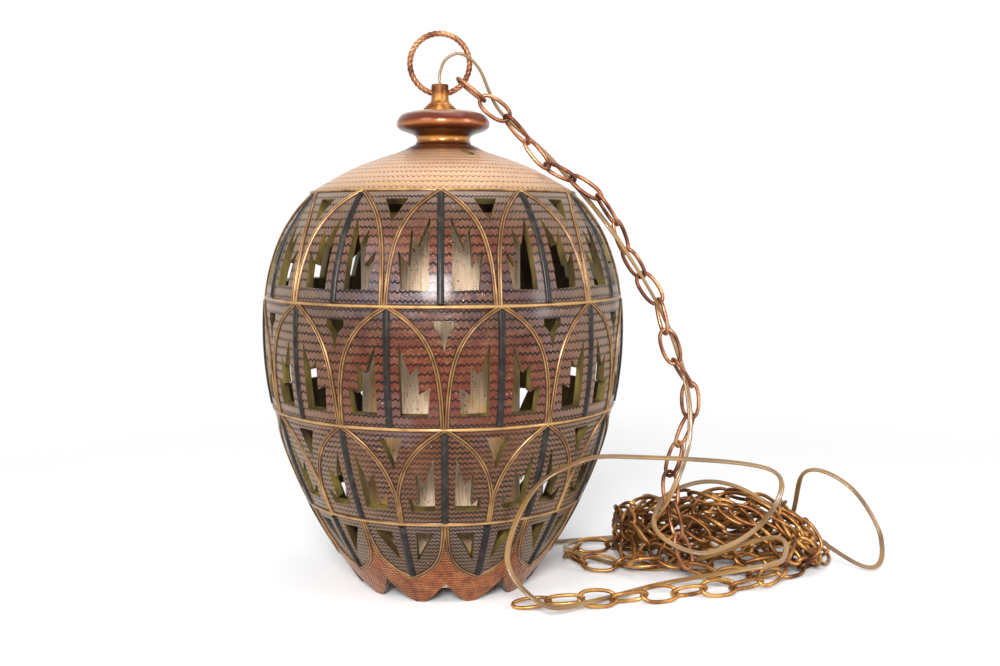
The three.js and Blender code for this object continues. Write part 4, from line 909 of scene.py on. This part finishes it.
oxblood = oxblood_glaze()
aged_copper = patinated("patinated_copper", "#5c3324", "#8c573a", "#c08e64", 0.3)
gold_copper = patinated("brass_washed_copper", "#744a24", "#a5743a", "#cfa05e", 0.28)
brown_copper = patinated("tarnished_copper", "#4a2c16", "#85562a", "#bd8c50", 0.32)
old_brass = patinated("old_turned_brass", "#5e3519", "#9c6531", "#d0a060", 0.32)
print("fittings' axis at x =", round(TUBE_X, 4))

# %% Finial
FINIAL_STEPS = 6
FINIAL_SIDES = 96
finial_outline = curve_through(FINIAL_PROFILE, FINIAL_STEPS) + [0, finial_low.z]
finial_bore = [[CAST_HOLE_RADIUS, finial_high.z], [CAST_HOLE_RADIUS, finial_low.z]]
new_piece("finial", *turned([*finial_outline, *finial_bore], FINIAL_SIDES, LAMP_X), oxblood,
          "copper_glaze", replaces=("finial_spool",))
print("finial", round(1000 * (finial_high.z - finial_low.z), 1), "mm high")

# %% Nozzle
NOZZLE_SIDES = 64
DRILL_SIDES = 32


def drilled(piece, radius, length, centre):
    """Cuts a hole along X with a Boolean modifier, and keeps its result as the piece's mesh."""
    bpy.ops.mesh.primitive_cylinder_add(
        vertices=DRILL_SIDES, radius=radius, depth=length, location=centre, rotation=(0, math.pi / 2, 0))
    drill = bpy.context.object
    cut = piece.modifiers.new("cross_hole", "BOOLEAN")
    cut.object = drill
    bpy.context.view_layer.update()
    result = bpy.data.meshes.new_from_object(piece.evaluated_get(bpy.context.evaluated_depsgraph_get()))
    piece.modifiers.clear()
    piece.data = result
    bpy.data.objects.remove(drill)


bore_step = nozzle_high.z - NOZZLE_BORE_DEPTH
nozzle_outline = NOZZLE_PROFILE + [0, nozzle_low.z]
nozzle_bore = [(NOZZLE_BORE, nozzle_high.z), (NOZZLE_BORE, bore_step), (TUBE_HOLE_RADIUS, bore_step),
               (TUBE_HOLE_RADIUS, nozzle_low.z)]
nozzle = new_piece("brass_nozzle", *turned([*nozzle_outline, *nozzle_bore], NOZZLE_SIDES, TUBE_X),
                   old_brass, "brass", replaces=("nozzle",), sharp=35)
cross_hole = (TUBE_X, RING_Y, ring_centre[2] - RING_RADIUS + CROSS_HOLE_RISE)
drilled(nozzle, CROSS_HOLE_RADIUS, 4 * NOZZLE_BORE, cross_hole)
print("nozzle", len(nozzle.data.polygons), "faces after drilling")

# %% Ring
STRANDS = 3
STRAND_RADIUS = 0.0018
RING_ROOM = 0.0003  # the strands' crests stay this far inside the model's wire
STRAND_OFFSET = RING_WIRE - RING_ROOM - STRAND_RADIUS
STRAND_SIDES = 12
RING_TWISTS = 12
STEPS_PER_TWIST = 30


def laid_strand(strand):
    """Centre = ring circle + offset * (cos a, sin a) in its section, where the angle a turns
    RING_TWISTS times on the way round and starts a third of a turn after the last strand's."""
    angle = turns(STEPS_PER_TWIST * RING_TWISTS)
    across = np.stack([np.sin(angle), 0 * angle, np.cos(angle)], -1)
    through = np.broadcast_to([0.0, -1.0, 0.0], across.shape)
    lay = RING_TWISTS * angle + 2 * np.pi * strand / STRANDS
    path = ring_centre + RING_RADIUS * across + STRAND_OFFSET * (
        np.cos(lay)[:, None] * across + np.sin(lay)[:, None] * through)
    return tube(path, across, through, round_section(STRAND_RADIUS, STRAND_SIDES), True)


new_piece("twisted_ring", *together([laid_strand(k) for k in range(STRANDS)]), aged_copper,
          "aged_copper", body="ring", replaces=("hanging_ring",))
print("ring of", STRANDS, "strands,", RING_TWISTS, "twists")

# %% [markdown]
# ## The chain
# Each link is an oval of copper wire. The places where links touch lie one pitch apart along a
# route, and each link is a tube round a superellipse between two of these places, rolled about
# its length. These routes and rolls are the model's own, so each fine link lies where its solid is.

# %% Chain route
LINK_LENGTH = 0.038
LINK_WIDTH = 0.02
LINK_WIRE = 0.0037
LINK_PITCH = 0.02995
HEAP_PITCH = 0.0317
HEAP_LINKS = 44
JOIN_STEP = 0.0013
RING_SLACK = 0.0011
RING_HANG_ANGLE = math.radians(50)
CHAIN_STEPS = 16
HANG_ROUTE = [
    (0.04, -0.009, 0.46), (0.062, -0.018, 0.442), (0.081, -0.011, 0.42), (0.099, -0.015, 0.398),
    (0.122, -0.03, 0.387), (0.148, -0.034, 0.367), (0.164, -0.027, 0.341), (0.176, -0.018, 0.314),
    (0.192, -0.011, 0.291), (0.208, -0.016, 0.266), (0.213, -0.02, 0.236), (0.224, -0.02, 0.208),
    (0.24, -0.012, 0.184), (0.237, -0.016, 0.155), (0.224, -0.019, 0.128), (0.216, -0.024, 0.099),
    (0.219, -0.032, 0.07), (0.225, -0.04, 0.042), (0.234, -0.046, 0.017),
]
HANG_ROLLS = [85, -8, 70, -48, 65, -45, 80, -48, 50, 0, 75, 15, 80, 18, -42, 60, -20, 60, -30]
HEAP_ROUTE = [
    (0.262, -0.044, 0.0087), (0.295, -0.038, 0.0087), (0.33, -0.028, 0.0087), (0.365, -0.005, 0.0087),
    (0.39, 0.028, 0.0087), (0.388, 0.064, 0.0087), (0.358, 0.082, 0.0087), (0.325, 0.076, 0.0087),
    (0.294, 0.082, 0.0087), (0.262, 0.072, 0.0087), (0.236, 0.05, 0.0087), (0.232, 0.015, 0.0094),
    (0.252, -0.008, 0.019), (0.287, -0.014, 0.027), (0.32, 0.002, 0.027), (0.334, 0.035, 0.027),
    (0.316, 0.06, 0.027), (0.28, 0.052, 0.027), (0.258, 0.03, 0.027), (0.232, 0.028, 0.026),
    (0.205, 0.015, 0.018), (0.175, 0, 0.0094), (0.145, 0.005, 0.0087), (0.125, 0.03, 0.0087),
    (0.134, 0.062, 0.0087), (0.162, 0.074, 0.0087), (0.192, 0.06, 0.0094), (0.208, 0.038, 0.02),
    (0.228, 0.03, 0.038), (0.252, 0.046, 0.046), (0.284, 0.042, 0.046), (0.306, 0.018, 0.046),
    (0.295, -0.01, 0.046), (0.264, -0.012, 0.048), (0.25, 0.014, 0.056), (0.268, 0.042, 0.066),
    (0.298, 0.04, 0.07), (0.314, 0.014, 0.07), (0.33, -0.006, 0.058), (0.338, -0.026, 0.04),
    (0.324, -0.048, 0.022), (0.3, -0.062, 0.0094),
]
TAIL_ROUTE = [
    (0.271, -0.072, 0.0082), (0.24, -0.079, 0.008), (0.208, -0.088, 0.008), (0.178, -0.095, 0.008),
    (0.15, -0.101, 0.008), (0.122, -0.104, 0.0091), (0.094, -0.101, 0.0067), (0.058, -0.101, 0.0029),
]
TAIL_ROLLS = [-45, 45, -45, 45, -45, 45, -10]


def set_back(start, towards, distance):
    return start + distance * unit(towards - start)


def strides(line, pitch, count):
    """Places a straight pitch apart along a line of close points, and the rest of the line. Each
    is where |a + s * (b - a) - last place| = pitch, a quadratic in s."""
    places, i = [line[0]], 1
    while len(places) <= count and i < len(line):
        if np.linalg.norm(line[i] - places[-1]) < pitch:
            i += 1
            continue
        along, back = line[i] - line[i - 1], line[i - 1] - places[-1]
        a, b, c = along @ along, along @ back, back @ back - pitch**2
        places.append(line[i - 1] + along * (-b + math.sqrt(b * b - a * c)) / a)
    return np.array(places), line[i:]


link_reach = (LINK_LENGTH - LINK_WIRE - LINK_PITCH) / 2
hang_radius = RING_RADIUS - RING_WIRE - LINK_WIRE / 2 - RING_SLACK
hang_direction = np.array([math.sin(RING_HANG_ANGLE), 0, -math.cos(RING_HANG_ANGLE)])
in_ring = ring_centre + hang_radius * hang_direction
chain_points = np.array([*HANG_ROUTE, *HEAP_ROUTE, *TAIL_ROUTE]) + [LAMP_X, 0, 0]
first_place = set_back(in_ring, chain_points[0], link_reach)
chain_line = curve_through(np.concatenate([[first_place], chain_points]), CHAIN_STEPS)
hang_places, rest = strides(chain_line, LINK_PITCH, len(HANG_ROLLS))
heap_start = set_back(hang_places[-1], hang_places[-2], JOIN_STEP)
heap_places, rest = strides(np.concatenate([[heap_start], rest]), HEAP_PITCH, HEAP_LINKS)
tail_start = set_back(heap_places[-1], heap_places[-2], JOIN_STEP)
tail_places, _ = strides(np.concatenate([[tail_start], rest]), LINK_PITCH, len(TAIL_ROLLS))
print("touching places", len(hang_places), "hanging,", len(heap_places), "heaped,", len(tail_places), "tail")

# %% Links
OVAL_POWER = 2.35
LINK_STEPS = 36
WIRE_SIDES = 10
RUNNING_WIRE = 0.0034  # the link in the ring and the two that turn are a little thinner


def link(start, end, roll, facing, wire=LINK_WIRE):
    """An oval |x|^p + |y|^p = 1 between two places, carried by a round wire. Its width lies level
    with `facing` before it is rolled about its length."""
    along = unit(end - start)
    level = unit(np.cross(facing, along))
    turn = math.radians(roll)
    side = level * math.cos(turn) + np.cross(along, level) * math.sin(turn)
    ring = round_section(1, LINK_STEPS)
    x, y = (np.sign(ring) * np.abs(ring) ** (2 / OVAL_POWER)).T
    path = ((start + end) / 2 + x[:, None] * along * (LINK_LENGTH - LINK_WIRE) / 2
            + y[:, None] * side * (LINK_WIDTH - LINK_WIRE) / 2)
    normal = np.broadcast_to(np.cross(along, side), path.shape)
    ahead = np.roll(path, -1, 0) - np.roll(path, 1, 0)
    return tube(path, normal, unit(np.cross(ahead, normal)), round_section(wire / 2, WIRE_SIDES), True)


TAIL_BODIES = {6: "tail_next", 7: "tail_end"}
BACK, UP = np.array([0.0, 1, 0]), np.array([0.0, 0, 1])
for k, roll in enumerate(HANG_ROLLS, 1):
    wire = RUNNING_WIRE if k == 1 else LINK_WIRE
    oval = link(hang_places[k - 1], hang_places[k], roll, BACK, wire)
    new_piece(f"hanging_link_{k:02}", *oval, aged_copper, "aged_copper",
              replaces=(f"chain_link_{k:02}",))
for k, roll in enumerate(TAIL_ROLLS, 1):
    wire = RUNNING_WIRE if k in TAIL_BODIES else LINK_WIRE
    oval = link(tail_places[k - 1], tail_places[k], roll, UP, wire)
    new_piece(f"floor_link_{k:02}", *oval, gold_copper, "aged_copper",
              body=TAIL_BODIES.get(k, "lamp"), replaces=(f"tail_link_{k:02}",))
print("links", len(HANG_ROLLS), "hanging and", len(TAIL_ROLLS), "in the tail")

# %% [markdown]
# Most of the chain lies in a heap. The model has one run of it. The rest is filled in here by
# strands whose x, y and z follow sines of unlike rates under a low dome, so that they wander
# without a list of places. All the heap's links are one piece.

# %% Heap
HEAP_STRANDS = 6
GOLDEN_ANGLE = math.pi * (3 - math.sqrt(5))
STRAND_RATES = (1.0, 1.63, 2.4)
STRAND_SPEED_UP = 0.07
STRAND_SPAN = 6.5
STRAND_STEPS = 700
HEAP_MIDDLE = (0.274 + LAMP_X, 0.03)
HEAP_REACH = (0.095, 0.052)
HEAP_FLOOR = 0.0088
HEAP_HEIGHT = 0.074
DOME_RIM = 0.02
HEAP_ROLL = 45  # neighbouring links are rolled this far to either side


def wandering_strand(number):
    """x = middle + reach * a, where a = sin(rate * t + phase), y likewise with b, and z swings
    between the floor and a dome that falls off as sqrt(1 - a^2 / 2 - b^2 / 2). Each phase is the
    last one plus the golden angle, and a's rate rises a little from strand to strand."""
    phases = GOLDEN_ANGLE * (3 * number + np.arange(3))
    t = np.linspace(0, STRAND_SPAN, STRAND_STEPS)
    across = np.sin(STRAND_RATES[0] * t * (1 + STRAND_SPEED_UP * number) + phases[0])
    back = np.sin(STRAND_RATES[1] * t + phases[1])
    dome = np.sqrt(np.maximum(1 - across**2 / 2 - back**2 / 2, DOME_RIM))
    swing = 0.5 + 0.5 * np.sin(STRAND_RATES[2] * t + phases[2])
    line = np.stack([HEAP_MIDDLE[0] + HEAP_REACH[0] * across, HEAP_MIDDLE[1] + HEAP_REACH[1] * back,
                     HEAP_FLOOR + (HEAP_HEIGHT - HEAP_FLOOR) * dome * swing], -1)
    return strides(line, HEAP_PITCH, len(t))[0]


strands = [heap_places] + [wandering_strand(number) for number in range(HEAP_STRANDS)]
heap_links = [link(start, end, HEAP_ROLL if k % 2 else -HEAP_ROLL, UP)
              for places in strands for k, (start, end) in enumerate(zip(places, places[1:]))]
new_piece("heaped_links", *together(heap_links), brown_copper, "aged_copper", replaces=("chain_pile",))
print("heap", len(heap_links), "links")

# %% [markdown]
# ## Liner and lamp fittings
# A cylinder of coarse linen stands behind the windows to hide the bulb. It is stretched over two
# wire rims. The upper rim hangs on a spider, and the socket and the bulb hang under it.

# %% Linen
LINER_RADIUS = 0.0762
LINER_WALL = 0.0012
THREAD_SPACING = 0.0014  # drawn about twice as coarse as the real cloth, so that it shows
PAINTED_BOUNCE_PANELS = 4  # painted amber bounce light is strongest on this many upright panels round it
PAINTED_BOUNCE_SWING = 0.15
WEAVE_SHARE = 0.22
LINER_ROWS = 30
LINER_SIDES = 144


def linen():
    """Plain-woven slubby linen, backed: matt, uneven beige, with painted amber bounce light on upright
    panels round it.
    """
    material, tree, place = new_material("woven_linen")
    centred = add(tree, "Mapping", {"Vector": place, "Location": (-LAMP_X, 0, 0)})
    x, y, z = add(tree, "SeparateXYZ", {0: centred}, None)
    azimuth = add(tree, "Math", {0: x, 1: y}, operation="ARCTAN2")
    threads_round = LINER_RADIUS * math.pi / THREAD_SPACING
    around = add(tree, "Math", {0: azimuth, 1: threads_round}, operation="MULTIPLY")
    up = add(tree, "Math", {0: z, 1: math.pi / THREAD_SPACING}, operation="MULTIPLY")
    warp = add(tree, "Math", {0: around}, operation="SINE")
    weft = add(tree, "Math", {0: up}, operation="SINE")
    weave = add(tree, "Math", {0: warp, 1: weft}, operation="MULTIPLY")
    upright = add(tree, "Mapping", {"Vector": place, "Scale": (1, 1, 0.08)})
    slubs = add(tree, "TexNoise", {"Vector": upright, "Scale": 700.0, "Detail": 2.0})
    thread = add(tree, "Math", {0: weave, 1: WEAVE_SHARE, 2: slubs}, operation="MULTIPLY_ADD")
    cloth = add(tree, "ValToRGB", {"Fac": thread}, stops=[
        (0.2, "#a87c50"), (0.44, "#ffd9b0"), (0.85, "#fff0dc")])
    clouds = add(tree, "TexNoise", {"Vector": place, "Scale": 16.0, "Detail": 4.0})
    # Painted bounce light: warm amber on four upright panels round the cloth
    panels = add(tree, "Math", {0: azimuth, 1: float(PAINTED_BOUNCE_PANELS)}, operation="MULTIPLY")
    pale = add(tree, "Math", {0: panels}, operation="COSINE")
    painted_bounce = add(tree, "Math", {0: pale, 1: -PAINTED_BOUNCE_SWING, 2: clouds}, operation="MULTIPLY_ADD")
    bounce_amount = add(tree, "MapRange", {"Value": painted_bounce, "From Min": 0.48, "From Max": 0.64, "To Max": 0.85})
    with_painted_bounce = add(tree, "Mix", {0: bounce_amount, 6: cloth, 7: "#e2a548"}, 2, data_type="RGBA")
    flecks = add(tree, "TexNoise", {"Vector": place, "Scale": 380.0, "Detail": 1.0})
    spotted = add(tree, "MapRange", {"Value": flecks, "From Min": 0.66, "From Max": 0.72, "To Max": 0.7})
    colour = add(tree, "Mix", {0: spotted, 6: with_painted_bounce, 7: "#5c4628"}, 2, data_type="RGBA")
    surface(tree, thread, 0.0005, Base_Color=colour, Roughness=0.9, Sheen_Weight=0.2)
    return material


woven_linen = linen()
liner_low, liner_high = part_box("liner")
liner_rise = np.linspace(liner_low.z, liner_high.z, LINER_ROWS)
liner_wall = [(LINER_RADIUS, z) for z in liner_rise]
liner_wall += [(LINER_RADIUS - LINER_WALL, z) for z in liner_rise[::-1]]
new_piece("linen_liner", *turned(liner_wall, LINER_SIDES, TUBE_X), woven_linen, "liner_fabric",
          replaces=("liner",), sharp=60)
print("liner", round(1000 * (liner_high.z - liner_low.z)), "mm high")

# %% [markdown]
# The fittings are ordinary lamp parts: a spun brass socket with a fibre sleeve and a moulded core,
# a threaded tube, a zinc-plated washer, nuts and wire rims. Most of them stand behind the liner,
# so nine round ones are the model's own, divided and pushed out to true circles, and the nuts,
# rims, inner lead and plug blades only get a material.

# %% Metals and plastics of the fittings


def speckled(name, base, shade, roughness, metallic, scale, depth):
    """One colour with a finer shade in it: plated, moulded or pressed stuff in its own grain."""
    return grained(name, scale, [(0.35, shade), (0.65, base)], depth, detail=4.0,
                   Roughness=roughness, Metallic=metallic)


zinc = speckled("zinc_plated_steel", "#b9bdbf", "#8f9598", 0.36, 1.0, 90.0, 0.0001)
fibreboard = speckled("pressed_fibreboard", "#8d7458", "#6c563e", 0.85, 0.0, 300.0, 0.0003)
phenolic = speckled("moulded_phenolic", "#2c2422", "#1c1716", 0.35, 0.0, 150.0, 0.0001)
frosted = speckled("frosted_glass", "#f3f1ea", "#e4e2da", 0.45, 0.0, 200.0, 0.0001)
spun_brass = speckled("spun_brass", "#c9a355", "#a67f3b", 0.3, 1.0, 70.0, 0.0001)
ROUND_CUTS = 3
ROUND_SIDES = 12


def rounded(name, node, material, slot, body="lamp"):
    """A faceted round node made truly round. At an angle d from the middle of a facet, a point's
    radius grows from r to r * cos(d) / cos(pi / sides)."""
    form = bmesh.new()
    form.from_mesh(nodes[node].data)
    bmesh.ops.remove_doubles(form, verts=form.verts, dist=MERGE_DISTANCE)
    bmesh.ops.subdivide_edges(form, edges=form.edges, cuts=ROUND_CUTS, use_grid_fill=True)
    mesh = bpy.data.meshes.new(name)
    form.to_mesh(mesh)
    form.free()
    place = np.empty(len(mesh.vertices) * 3)
    mesh.vertices.foreach_get("co", place)
    place = place.reshape(-1, 3) - [TUBE_X, 0, 0]
    step = 2 * np.pi / ROUND_SIDES
    from_corner = np.mod(np.arctan2(place[:, 1], place[:, 0]), step)
    place[:, :2] *= (np.cos(from_corner - step / 2) / math.cos(step / 2))[:, None]
    mesh.vertices.foreach_set("co", (place + [TUBE_X, 0, 0]).ravel())
    mesh.shade_smooth()
    mesh.set_sharp_from_angle(angle=math.radians(SHARP_ANGLE))
    mesh.materials.append(material)
    piece = bpy.data.objects.new(name, mesh)
    scene.collection.objects.link(piece)
    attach(piece, body)
    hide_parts(node)


FITTINGS = {
    "round_tube": ("threaded_tube", spun_brass, "brass"),
    "round_washer": ("washer_inner", zinc, "zinc_steel"),
    "spun_cap": ("socket_cap", spun_brass, "brass"),
    "spun_shell": ("socket_shell", spun_brass, "brass"),
    "fibre_sleeve": ("socket_insulator", fibreboard, "fibreboard"),
    "moulded_core": ("socket_core", phenolic, "phenolic"),
    "screw_sleeve": ("socket_screw_shell", spun_brass, "brass"),
    "screw_base": ("bulb_base", zinc, "zinc_steel", "bulb"),
    "glass_envelope": ("bulb_glass", frosted, "frosted_glass", "bulb"),
}
for name, fitting in FITTINGS.items():
    rounded(name, *fitting)
print("rounded fittings", len(FITTINGS))

# %% Kept nodes
KEPT = {
    "lock_nut": zinc, "spider_nut": zinc, "liner_top_ring": zinc, "liner_bottom_ring": zinc,
    "inner_lead": cord_vinyl, "plug_blade_left": spun_brass, "plug_blade_right": spun_brass,
}
for name, material in KEPT.items():
    kept = nodes[name]
    kept.data.materials.clear()
    kept.data.materials.append(material)
print("kept nodes", len(KEPT))
